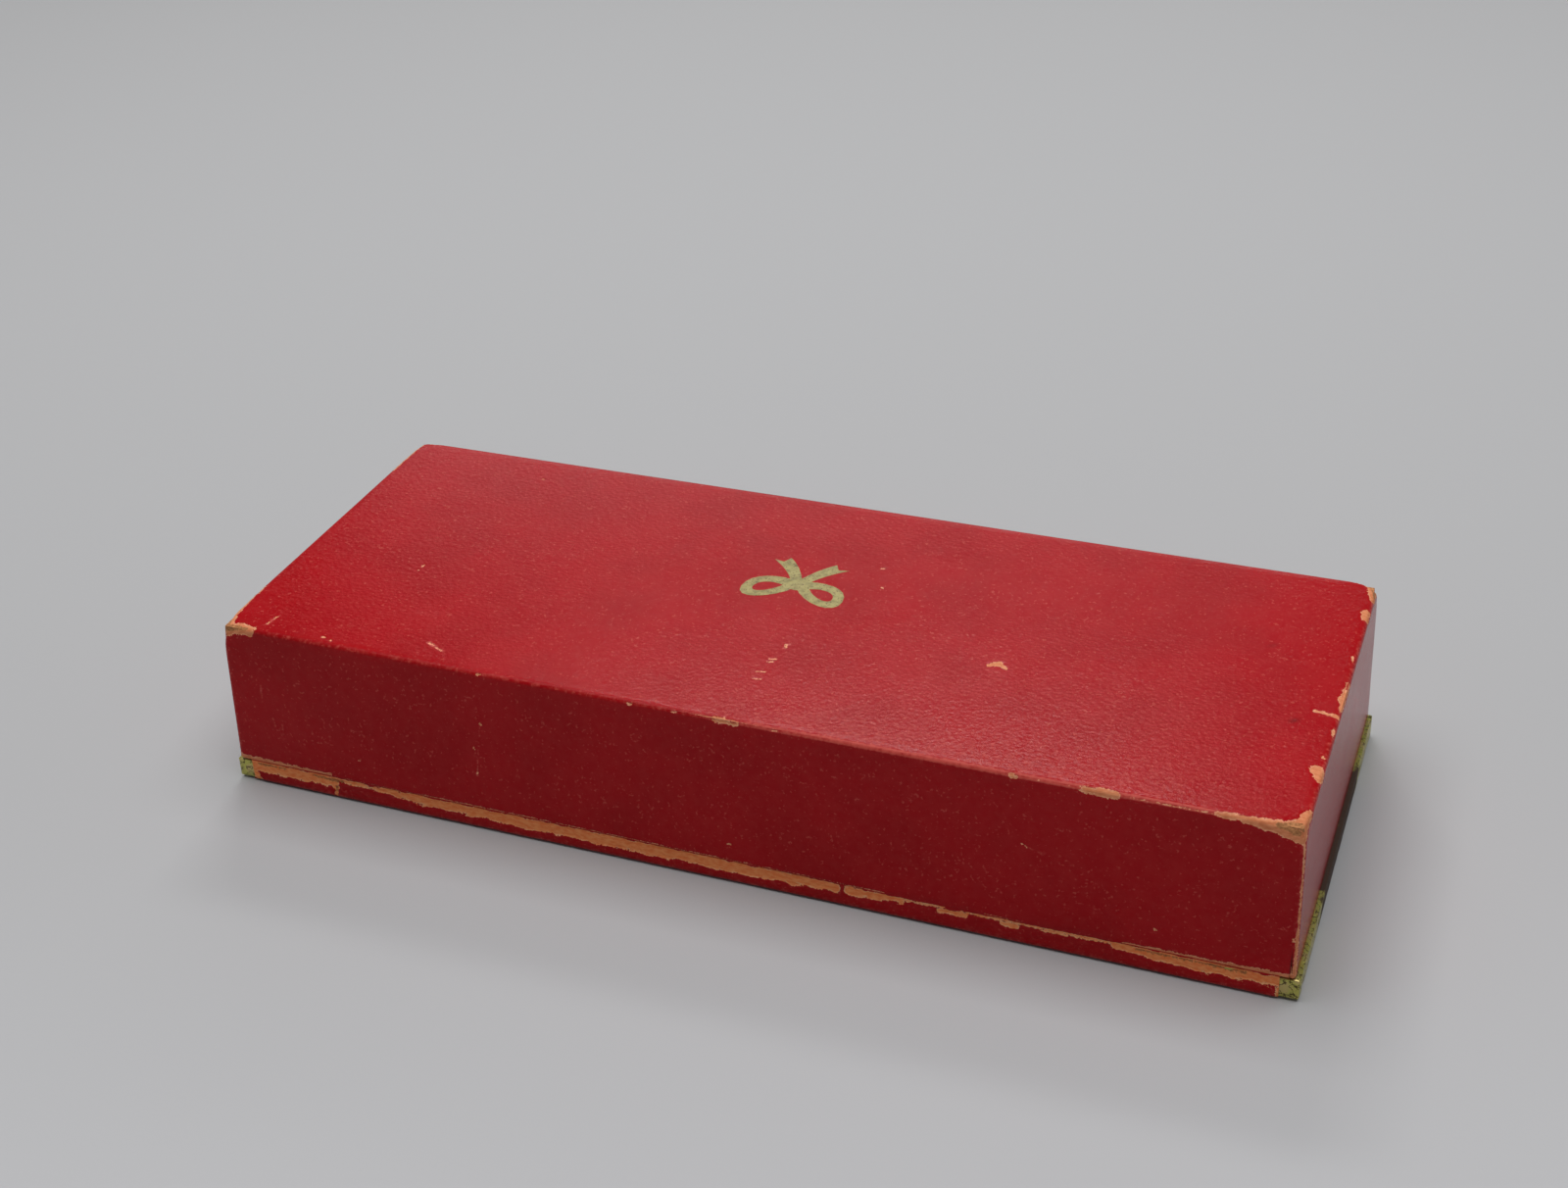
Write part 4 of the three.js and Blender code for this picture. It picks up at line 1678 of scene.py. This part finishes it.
@dataclass
class Emblem:
    """A bow stamped in gold foil on the lid.

    Attributes:
        finish: Its material.
        thickness: How thick the foil looks, in millimetres.
        step: Spacing of the cuts that let it follow the lid, in millimetres.
    """

    finish: Material
    thickness: float = 0.03
    step: float = 1.0

    def build(self) -> Object:
        """Makes the piece from the CAD outline, laid on the bowed lid.

        Returns:
            The new object.
        """
        bm = copy_of("foil_emblem")
        low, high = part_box("foil_emblem")
        for axis in (Axis.LENGTH, Axis.DEPTH):
            normal = Vector((float(axis is Axis.LENGTH), float(axis is Axis.DEPTH), 0.0))
            cuts = int((high - low)[axis.value] / MM / self.step)
            for i in range(1, cuts + 1):
                place = low + normal * i * self.step * MM
                geom = list(bm.verts) + list(bm.edges) + list(bm.faces)
                bmesh.ops.bisect_plane(bm, geom=geom, dist=1e-7, plane_co=place, plane_no=normal)
        middle = (low.z + high.z) / 2
        lid_top = low.z / MM - 0.05
        for vert in bm.verts:
            upper = vert.co.z > middle
            point = vert.co / MM
            point.z = TOP_FACE
            vert.co.z = (lid_top + crown(point) + (self.thickness if upper else -0.05)) * MM
        return finish_piece("emblem", bm, self.finish, Body.LID, ["foil_emblem"])


# ---------------------------------------------------------------- Soft pieces


@dataclass(frozen=True)
class Filling:
    """How a cloth case is blown up from inside.

    Attributes:
        voxel: Spacing of the simulated cloth, in metres.
        pressure: The pressure inside.
        most: The furthest that a point may move, in metres.
        frames: How many frames it settles for.
    """

    voxel: float
    pressure: float = 4.0
    most: float = 1.6 * MM
    frames: int = 20

    def fill(self, bm: BMesh, held: Callable[[Vector], float]) -> BMesh:
        """Blows a closed case up.

        Args:
            bm: The case, slightly smaller than it should end. It is freed.
            held: How firmly a point is held in place, from 0 to 1, given its place in millimetres.

        Returns:
            The swollen case, with a finer mesh.
        """
        mesh = bpy.data.meshes.new("case")
        bm.to_mesh(mesh)
        bm.free()
        case = bpy.data.objects.new("case", mesh)
        bpy.context.scene.collection.objects.link(case)
        remesh = case.modifiers.new("remesh", "REMESH")
        remesh.mode = "VOXEL"
        remesh.voxel_size = self.voxel
        case.data = self._settled(case)
        case.modifiers.remove(remesh)
        moved = self._blow(case, held)
        filled = bmesh.new()
        filled.from_mesh(case.data)
        filled.verts.ensure_lookup_table()
        for vert, place in zip(filled.verts, moved):
            vert.co = place
        for _ in range(3):
            bmesh.ops.smooth_vert(
                filled, verts=filled.verts, factor=0.5, use_axis_x=True, use_axis_y=True, use_axis_z=True,
            )
        filled.to_mesh(case.data)
        finer = case.modifiers.new("finer", "SUBSURF")
        finer.levels = finer.render_levels = 1
        filled.clear()
        filled.from_mesh(self._settled(case))
        bpy.data.objects.remove(case)
        bmesh.ops.recalc_face_normals(filled, faces=filled.faces)
        return filled

    def _settled(self, case: Object) -> bpy.types.Mesh:
        """The case's mesh with its modifiers applied."""
        graph = bpy.context.evaluated_depsgraph_get()
        return bpy.data.meshes.new_from_object(case.evaluated_get(graph))

    def _blow(self, case: Object, held: Callable[[Vector], float]) -> list[Vector]:
        """Where each point of the case ends.

        Args:
            case: The remeshed case.
            held: How firmly a point is held.

        Returns:
            One place a point, moved no further than the filling may move it.
        """
        start = [v.co.copy() for v in case.data.vertices]
        group = case.vertex_groups.new(name="held")
        for vert in case.data.vertices:
            group.add([vert.index], max(0.0, min(1.0, held(vert.co / MM))), "REPLACE")
        cloth = case.modifiers.new("cloth", "CLOTH")
        cloth.settings.vertex_group_mass = "held"
        cloth.settings.use_pressure = True
        cloth.settings.uniform_pressure_force = self.pressure
        cloth.settings.effector_weights.gravity = 0.0
        cloth.settings.bending_stiffness = 0.1
        cloth.point_cache.frame_start = 1
        cloth.point_cache.frame_end = self.frames
        scene = bpy.context.scene
        for frame in range(1, self.frames + 1):
            scene.frame_set(frame)
        swollen = self._settled(case)
        moved = []
        for old, vert in zip(start, swollen.vertices):
            way = vert.co - old
            length = way.length
            share = math.tanh(length / self.most) * self.most / length if length > 1e-9 else 0.0
            moved.append(old + way * share)
        case.modifiers.remove(cloth)
        scene.frame_set(1)
        return moved


def case_block(low: Vector, high: Vector, radius: float) -> BMesh:
    """A block with rounded edges.

    Args:
        low: Its lowest corner.
        high: Its highest corner.
        radius: How round its edges are, in metres.

    Returns:
        The block.
    """
    bm = bmesh.new()
    size = high - low
    shape = Matrix.Translation((low + high) / 2) @ Matrix.Diagonal((*size, 1.0))
    bmesh.ops.create_cube(bm, size=1.0, matrix=shape)
    round_edges(bm, list(bm.edges), radius, 3)
    return bm


@dataclass
class LidPad:
    """The padded satin inside the lid, gathered a little along its rim.

    Attributes:
        finish: Its material.
        swell: How far it may swell, in metres.
    """

    finish: Material
    swell: float = 1.5 * MM

    def build(self) -> Object:
        """Makes the piece.

        Returns:
            The new object.
        """
        low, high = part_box("lid_pad_satin")
        bm = case_block(low, high, 0.9 * MM)
        rim = high.z / MM - 1.2
        inner_low, inner_high = low / MM, high / MM

        def held(point: Vector) -> float:
            """Firm at the card and along the rim, where the satin is glued down.

            Args:
                point: A place on the pad, in millimetres.

            Returns:
                How firm it is, from 0 to 1.
            """
            gap = min(
                point.x - inner_low.x, inner_high.x - point.x, point.y - inner_low.y, inner_high.y - point.y,
            )
            return 1.0 if point.z > rim else 1 - min(1.0, max(0.0, gap - 0.5) / 7)

        filled = Filling(2.4 * MM, most=self.swell).fill(bm, held)
        centre = (low + high) / 2
        half = (high - low) / 2
        filled.normal_update()
        for vert in filled.verts:
            point = vert.co / MM
            gap_x = (half.x - abs(vert.co.x - centre.x)) / MM
            gap_y = (half.y - abs(vert.co.y - centre.y)) / MM
            gather = max(0.0, 1 - min(gap_x, gap_y) / 11)
            along = point.x if gap_y < gap_x else point.y
            fold = ripple((along, 0.12 * gap_x, 0.12 * gap_y), 3.2, 6.0)
            soft = 0.14 * ripple(point, 24.0, 1.0)
            if vert.co.z < high.z - 0.8 * MM:
                vert.co += vert.normal * (0.3 * gather * gather * fold + soft) * MM
        piece = finish_piece("lid_pad", filled, self.finish, Body.LID, ["lid_pad_satin"])
        return piece


@dataclass
class VelvetBed:
    """The velvet over the bed's foam, drawn in where the bands go through it.

    Attributes:
        finish: Its material.
        swell: How far it may swell, in metres.
        slit_dip: How deep the slits are drawn in, in millimetres.
    """

    finish: Material
    swell: float = 0.9 * MM
    slit_dip: float = 1.5

    def slits(self) -> list[tuple[Vector, Vector]]:
        """Where the bands go through the velvet.

        Returns:
            The two ends of each slit, in millimetres.
        """
        found = []
        for node in ("band_left", "band_right"):
            low, high = (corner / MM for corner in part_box(node))
            for y in (low.y + 0.3, high.y - 0.3):
                found.append((Vector((low.x - 0.6, y, 0.0)), Vector((high.x + 0.6, y, 0.0))))
        return found

    def build(self) -> Object:
        """Makes the piece.

        Returns:
            The new object.
        """
        low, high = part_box("bed_velvet")
        side = Vector((0.1 * MM, 0.1 * MM, 0.0))
        lowest, highest = low + side + Vector((0, 0, 0.2 * MM)), high - side - Vector((0, 0, 0.15 * MM))
        bm = case_block(lowest, highest, 1.3 * MM)
        saddle_low, saddle_high = (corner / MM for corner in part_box("saddle_velvet"))
        slits = self.slits()

        def gap(point: Vector) -> float:
            """How far a place is from the nearest slit.

            Args:
                point: The place, in millimetres.

            Returns:
                The distance, in millimetres.
            """
            return min(
                math.hypot(max(a.x - point.x, 0.0, point.x - b.x), point.y - a.y) for a, b in slits
            )

        def held(point: Vector) -> float:
            """Firm at the foot, at the slits and under the saddle.

            Args:
                point: A place on the velvet, in millimetres.

            Returns:
                How firm it is, from 0 to 1.
            """
            under = saddle_low.x < point.x < saddle_high.x and saddle_low.y < point.y < saddle_high.y
            if point.z < high.z / MM - 1.6 or under:
                return 1.0
            return 1 - min(1.0, gap(point) / 7)

        filled = Filling(2.2 * MM, most=self.swell).fill(bm, held)
        top = high.z - 1.2 * MM
        for _ in range(2):
            near = {v for v in filled.verts if v.co.z > top and gap(v.co / MM) < 2.6}
            edges = {e for f in filled.faces if any(v in near for v in f.verts) for e in f.edges}
            bmesh.ops.subdivide_edges(filled, edges=list(edges), cuts=1, use_grid_fill=True)
        for vert in filled.verts:
            point = vert.co / MM
            if vert.co.z > top:
                away = gap(point)
                dip = self.slit_dip * math.exp(-((away / 0.75) ** 2)) + 0.35 * math.exp(-((away / 3.0) ** 2))
                vert.co.z -= (dip - 0.06 * ripple(point, 14.0, 4.0)) * MM
        piece = finish_piece("velvet_bed", filled, self.finish, Body.BASE, ["bed_velvet"])
        return piece


@dataclass
class Saddle:
    """The velvet pad in the middle that the bracelet lies over.

    Attributes:
        finish: Its material.
        swell: How far it may swell, in metres.
    """

    finish: Material
    swell: float = 0.7 * MM

    def build(self) -> Object:
        """Makes the piece.

        Returns:
            The new object.
        """
        low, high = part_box("saddle_velvet")
        side = Vector((0.15 * MM, 0.15 * MM, 0.0))
        bm = case_block(low + side, high - side - Vector((0, 0, 0.3 * MM)), 1.2 * MM)
        foot = low.z / MM + 0.8
        filled = Filling(1.1 * MM, most=self.swell).fill(bm, lambda point: 1.0 if point.z < foot else 0.0)
        for vert in filled.verts:
            vert.co += Vector((0, 0, 0.05 * MM * ripple(vert.co / MM, 5.0, 7.0)))
            vert.co.z = max(vert.co.z, low.z)
        piece = finish_piece("velvet_saddle", filled, self.finish, Body.BASE, ["saddle_velvet"])
        return piece


@dataclass
class Bands:
    """The two ribbed elastic bands that hold the bracelet down.

    Attributes:
        finish: Their material.
        thick: The elastic's thickness, in millimetres.
        shoulder: Radius of the bend at each side, at the elastic's middle.
    """

    finish: Material
    thick: float = 0.8
    shoulder: float = 2.6

    def path(self, low: Vector, high: Vector) -> list[tuple[float, float, float]]:
        """The band's middle line.

        Args:
            low: The lowest corner of the band's room, in millimetres.
            high: Its highest corner.

        Returns:
            Places along it as (y, z, slope in radians).
        """
        half = self.thick / 2
        front, back, top = low.y + half, high.y - half, high.z - half
        bend = self.shoulder
        steps = [(front, low.z + (top - bend - low.z) * i / 4, math.pi / 2) for i in range(4)]
        for i in range(9):
            turn = math.pi / 2 * i / 8
            steps.append(
                (front + bend - bend * math.cos(turn), top - bend + bend * math.sin(turn), math.pi / 2 - turn)
            )
        run = back - front - 2 * bend
        for i in range(1, 10):
            steps.append((front + bend + run * i / 10, top - 0.25 * math.sin(math.pi * i / 10), 0.0))
        middle = (front + back) / 2
        steps += [(2 * middle - y, z, -slope) for y, z, slope in reversed(steps[:13])]
        return steps

    def build(self) -> list[Object]:
        """Makes both pieces."""
        return [self._band(f"elastic_{side}", f"band_{side}") for side in ("left", "right")]

    def _band(self, name: str, node: str) -> Object:
        """Makes one band.

        Args:
            name: The piece's name.
            node: The CAD node that it stands for.

        Returns:
            The new object.
        """
        low, high = (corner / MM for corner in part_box(node))
        middle, width = (low.x + high.x) / 2, high.x - low.x
        steps = self.path(low, high)
        bm = bmesh.new()
        uv = bm.loops.layers.uv.new("run")
        bmesh.ops.create_grid(bm, x_segments=12, y_segments=1, size=0.5)
        shape = Matrix.Diagonal((width, self.thick, 1.0, 1.0))
        bmesh.ops.transform(bm, matrix=shape, verts=bm.verts)
        rest = {v: v.co.copy() for v in bm.verts}
        for vert, place in rest.items():
            edge = min(1.0, (width / 2 - abs(place.x)) / 0.7)
            place.y *= 0.45 + 0.55 * math.sqrt(max(0.0, edge))
        front = list(bm.faces)
        run = 0.0
        runs = {}
        previous = None
        for y, z, slope in steps:
            if previous is not None:
                run += math.dist(previous, (y, z))
                made = bmesh.ops.extrude_face_region(bm, geom=front, use_keep_orig=previous == first)["geom"]
                verts = [g for g in made if isinstance(g, BMVert)]
                rest = self._matched(verts, rest)
                front = [g for g in made if isinstance(g, BMFace)]
            else:
                first = (y, z)
            previous = (y, z)
            for vert, place in rest.items():
                across = Vector((0.0, -math.sin(slope), math.cos(slope))) * place.y
                vert.co = (Vector((middle + place.x, y, z)) + across) * MM
                runs[vert] = run
        bmesh.ops.recalc_face_normals(bm, faces=bm.faces)
        for face in bm.faces:
            for loop in face.loops:
                loop[uv].uv = (runs[loop.vert] * MM, (loop.vert.co.x - middle * MM))
        return finish_piece(name, bm, self.finish, Body.BASE, [node])

    def _matched(self, verts: list[BMVert], rest: dict[BMVert, Vector]) -> dict[BMVert, Vector]:
        """Pairs extruded vertices with the section places of those that they came from.

        Args:
            verts: The new vertices, where the old ones are.
            rest: The old vertices' places in the section.

        Returns:
            The new vertices' places in the section.
        """
        olds = list(rest.items())
        pairs = {}
        for vert in verts:
            near = min(olds, key=lambda item: (item[0].co - vert.co).length_squared)
            pairs[vert] = near[1]
        return pairs


@dataclass
class Lining:
    """One satin-covered card inside the lid.

    Attributes:
        node: The CAD node that it stands for.
        finish: Its material.
    """

    node: str
    finish: Material

    def build(self) -> Object:
        """Makes the piece.

        Returns:
            The new object.
        """
        bm = copy_of(self.node)
        round_edges(bm, list(bm.edges), 0.28 * MM, 2)
        spread_grid(bm, 2.2 * MM, lambda face: face.calc_area() > 20 * MM * MM, 3 * MM)
        bm.normal_update()
        for vert in bm.verts:
            vert.co += vert.normal * 0.04 * ripple(vert.co / MM, 13.0, 5.0) * MM
        name = self.node.replace("lid_", "satin_")
        return finish_piece(name, bm, self.finish, Body.LID, [self.node])


@dataclass
class Core:
    """The foam or wadding inside a soft piece, its edges pressed round by the cloth.

    Attributes:
        node: The CAD node that it stands for.
        name: The piece's name.
        finish: Its material.
        slot: The record's slot that the finish belongs to. Not used.
        body: The body that it rides on.
        pressed: How far the cloth presses it down, as a share of its height.
        press_from_top: True where the cloth is above it.
    """

    node: str
    name: str
    finish: Material
    slot: Slot
    body: Body
    pressed: float = 0.2
    press_from_top: bool = True

    def build(self) -> Object:
        """Makes the piece.

        Returns:
            The new object.
        """
        low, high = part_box(self.node)
        bm = copy_of(self.node)
        if len(bm.faces) < 8:
            round_edges(bm, list(bm.edges), 1.3 * MM, 3)
        fixed = low.z if self.press_from_top else high.z
        centre = Vector(((low.x + high.x) / 2, (low.y + high.y) / 2, fixed))
        inset = 1.2 * MM
        share_x, share_y = 1 - inset / (high.x - low.x), 1 - inset / (high.y - low.y)
        shape = Matrix.Diagonal((share_x, share_y, 1 - self.pressed, 1.0))
        matrix = Matrix.Translation(centre) @ shape @ Matrix.Translation(-centre)
        bmesh.ops.transform(bm, matrix=matrix, verts=bm.verts)
        return finish_piece(self.name, bm, self.finish, self.body, [self.node])


@dataclass
class LidBoard:
    """One board of the lid, its edges softened and its corners knocked in with the paper.

    Attributes:
        node: The CAD node that it stands for.
        finish: Its material.
    """

    node: str
    finish: Material

    def build(self) -> Object:
        """Makes the piece.

        Returns:
            The new object.
        """
        bm = copy_of(self.node)
        round_edges(bm, list(bm.edges), 0.85 * MM, 2)
        spread_grid(bm, 4 * MM, lambda face: face.calc_area() > 20 * MM * MM)
        for vert in bm.verts:
            vert.co += knock(vert.co / MM) * 1.1 * MM
        name = self.node.replace("lid_", "pulp_")
        return finish_piece(name, bm, self.finish, Body.LID, [self.node])


@dataclass
class InnerHinge:
    """The book cloth that joins the lid's lower edge to the base on the inside.

    Attributes:
        finish: Its material.
        axis: The hinge's (y, z), in millimetres. Not used.
        cloth: The cloth's thickness, in millimetres.
    """

    finish: Material
    axis: tuple[float, float]
    cloth: float = 0.13

    def path(self) -> list[tuple[float, float]]:
        """The cloth's middle line.

        Returns:
            Its (y, z) points in millimetres, from the collar to behind the lining.
        """
        return [
            (34.75, 4.58), (36.2, 4.58), (37.7, 4.58), (38.8, 4.58), (39.2, 4.585), (39.34, 4.61),
            (39.4, 4.66), (39.34, 4.71), (39.2, 4.735), (38.8, 4.74), (38.0, 4.745), (37.35, 4.75),
            (37.1, 4.79), (37.01, 4.95), (36.98, 5.4), (36.94, 6.0), (36.9, 6.9), (36.86, 7.9),
        ]

    def build(self) -> Object:
        """Makes the piece.

        Returns:
            The new object.
        """
        low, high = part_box("inner_hinge_tape")
        bm = bmesh.new()
        points = self.path()
        line_verts = [bm.verts.new((low.x, y * MM, z * MM)) for y, z in points]
        edges = [bm.edges.new(pair) for pair in zip(line_verts, line_verts[1:])]
        made = bmesh.ops.extrude_edge_only(bm, edges=edges)["geom"]
        moved = [g for g in made if isinstance(g, BMVert)]
        bmesh.ops.translate(bm, vec=(high.x - low.x, 0, 0), verts=moved)
        across = edges_along(bm.edges, Axis.LENGTH, 100 * MM)
        bmesh.ops.subdivide_edges(bm, edges=across, cuts=60, use_grid_fill=True)
        for vert in bm.verts:
            vert.co.z += 0.012 * ripple(vert.co / MM, 5.0) * MM
        bmesh.ops.solidify(bm, geom=bm.faces, thickness=self.cloth * MM)
        bmesh.ops.recalc_face_normals(bm, faces=bm.faces)
        node = "inner_hinge_tape"
        piece = finish_piece("inner_hinge_cloth", bm, self.finish, None, [node])
        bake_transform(piece)
        return piece


def dress(finish: Material, *nodes: str) -> None:
    """Gives CAD nodes that stay in the model their material.

    Args:
        finish: The material.
        nodes: The nodes' names.
    """
    for node in nodes:
        materials = bpy.data.objects[node].data.materials
        materials.clear()
        materials.append(finish)
        LOG.info("%s: dressed", node)


# ---------------------------------------------------------------- Studio


@dataclass(frozen=True)
class Studio:
    """Floor, light and camera."""

    camera_at: Point = (-0.1283, 0.3135, 0.2433)
    aimed_at: Point = (0.0250, -0.0544, 0.0)
    roll: float = math.radians(-2.82)
    lens: float = 49.8
    sensor: float = 36.0
    floor_half: float = 3.0

    def build(self) -> None:
        """Sets it all up."""
        scene = bpy.context.scene
        scene.view_settings.view_transform = "Standard"
        self._floor()
        self._world()
        self._light("overhead", (0.0, -0.06, 1.3), (0.0, 0.0, 0.0), (1.5, 1.1), 15.3)
        self._light("window", (0.32, -0.89, 0.95), (-0.03, 0.03, 0.03), (0.5, 0.14), 3.0)
        self._light("backdrop", (0.45, -1.25, 0.56), (0.0, -0.03, 0.03), (0.9, 0.16), 1.2)
        camera = bpy.data.objects.new("camera", bpy.data.cameras.new("camera"))
        scene.collection.objects.link(camera)
        camera.data.lens = self.lens
        camera.data.sensor_width = self.sensor
        camera.data.clip_start = 0.01
        camera.location = self.camera_at
        towards = Vector(self.aimed_at) - Vector(self.camera_at)
        turned = towards.to_track_quat("-Z", "Y").to_matrix() @ Matrix.Rotation(self.roll, 3, "Z")
        camera.rotation_euler = turned.to_euler()
        scene.camera = camera

    def _floor(self) -> None:
        """Lays the floor."""
        bm = bmesh.new()
        bmesh.ops.create_grid(bm, x_segments=1, y_segments=1, size=self.floor_half)
        mesh = bpy.data.meshes.new("floor")
        bm.to_mesh(mesh)
        bm.free()
        mesh.materials.append(Sweep().make())
        floor = bpy.data.objects.new("floor", mesh)
        bpy.context.scene.collection.objects.link(floor)

    def _world(self) -> None:
        """Fills the room with pale light."""
        world = bpy.data.worlds.new("room")
        world.use_nodes = True
        nodes, links = world.node_tree.nodes, world.node_tree.links
        background = nodes["Background"]
        place = nodes.new("ShaderNodeTexCoord")
        split = nodes.new("ShaderNodeSeparateXYZ")
        ramp = nodes.new("ShaderNodeValToRGB")
        links.new(place.outputs["Generated"], split.inputs["Vector"])
        links.new(split.outputs["Z"], ramp.inputs["Fac"])
        links.new(ramp.outputs["Color"], background.inputs["Color"])
        low, high = ramp.color_ramp.elements
        low.position, low.color = 0.25, (0.7, 0.71, 0.74, 1.0)
        high.position, high.color = 0.5, (0.4, 0.41, 0.43, 1.0)
        background.inputs["Strength"].default_value = 0.27
        bpy.context.scene.world = world

    def _light(self, name: str, place: Point, target: Point, size: tuple[float, float], power: float) -> None:
        """Hangs one soft box.

        Args:
            name: Its name.
            place: Where it hangs, in metres.
            target: What it faces.
            size: Its width and depth, in metres.
            power: Its power, in watts.
        """
        data = bpy.data.lights.new(name, "AREA")
        data.shape = "RECTANGLE"
        data.size, data.size_y = size
        data.energy = power
        light = bpy.data.objects.new(name, data)
        bpy.context.scene.collection.objects.link(light)
        light.location = place
        light.visible_camera = False
        light.rotation_euler = (Vector(target) - Vector(place)).to_track_quat("-Z", "Y").to_euler()


def main() -> None:
    """Builds the box's looks round its frame."""
    logging.basicConfig(level=logging.INFO, format="%(name)s %(message)s")
    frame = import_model()
    hinge = next(joint for joint in frame["joints"] if joint["name"] == "lid_hinge")
    hinge_axis = (hinge["pos_m"][1] / MM, hinge["pos_m"][2] / MM)
    red = LeatherettePaper().make()
    foil = FoilPaper().make()
    satin = Satin().make()
    velvet = Velvet().make()
    lid = Outline.of_lid()
    Studio().build()
    LidCover(lid, red).build()
    # The hinge's paper: its torn core a more saturated orange than the lid's, and painted brighter as well,
    # to make up for the shade that the crease lies in.
    cracked_and_brightened = LeatherettePaper(
        name="cracked_paper_brightened", core=paint(255, 162, 100), core_pale=paint(255, 198, 146),
        core_dark=paint(246, 130, 74), board=paint(204, 132, 82), board_dark=paint(160, 96, 58),
    ).make()
    HingePaper(Outline.of("hinge_strip"), lid.low.z / MM, cracked_and_brightened).build()
    board = PulpBoard("greyboard", paint(172, 138, 102), paint(128, 98, 70)).make()
    for side in ("top", *SIDES):
        LidBoard(f"lid_{side}_board", board).build()
    BaseFoil(Outline.of("base_foil_wrap"), foil).build()
    CollarFoil(Outline.of("collar_foil_wrap"), foil).build()
    Emblem(StampFoil().make()).build()
    for side in SIDES:
        Lining(f"lid_{side}_lining", satin).build()
    LidPad(satin).build()
    VelvetBed(velvet).build()
    Saddle(velvet).build()
    Bands(Webbing().make()).build()
    InnerHinge(BookCloth().make(), hinge_axis).build()
    dress(
        board,
        "base_board", "bed_card", *(f"collar_{side}_board" for side in SIDES), "lid_pad_card",
    )
    dress(
        PulpBoard("gummed_stay", paint(196, 160, 112), paint(160, 122, 78)).make(),
        *(f"corner_stay_{side}_{end}" for side in ("front", "back") for end in ("left", "right")),
    )
    dress(PulpBoard("under_paper", paint(86, 62, 48), paint(50, 34, 26), 1.4 * MM).make(), "under_paper")
    wadding = PulpBoard("wadding", paint(240, 238, 230), paint(214, 210, 198), 2.5 * MM).make()
    foam = PulpBoard("foam", paint(228, 206, 150), paint(196, 170, 112)).make()
    Core("lid_pad_wadding", "wadding", wadding, Slot.WADDING, Body.LID, 0.2, press_from_top=False).build()
    Core("bed_foam", "bed_foam_slab", foam, Slot.FOAM, Body.BASE, 0.35).build()
    Core("saddle_core", "saddle_foam", foam, Slot.FOAM, Body.BASE, 0.2).build()


if __name__ == "__main__":
    main()
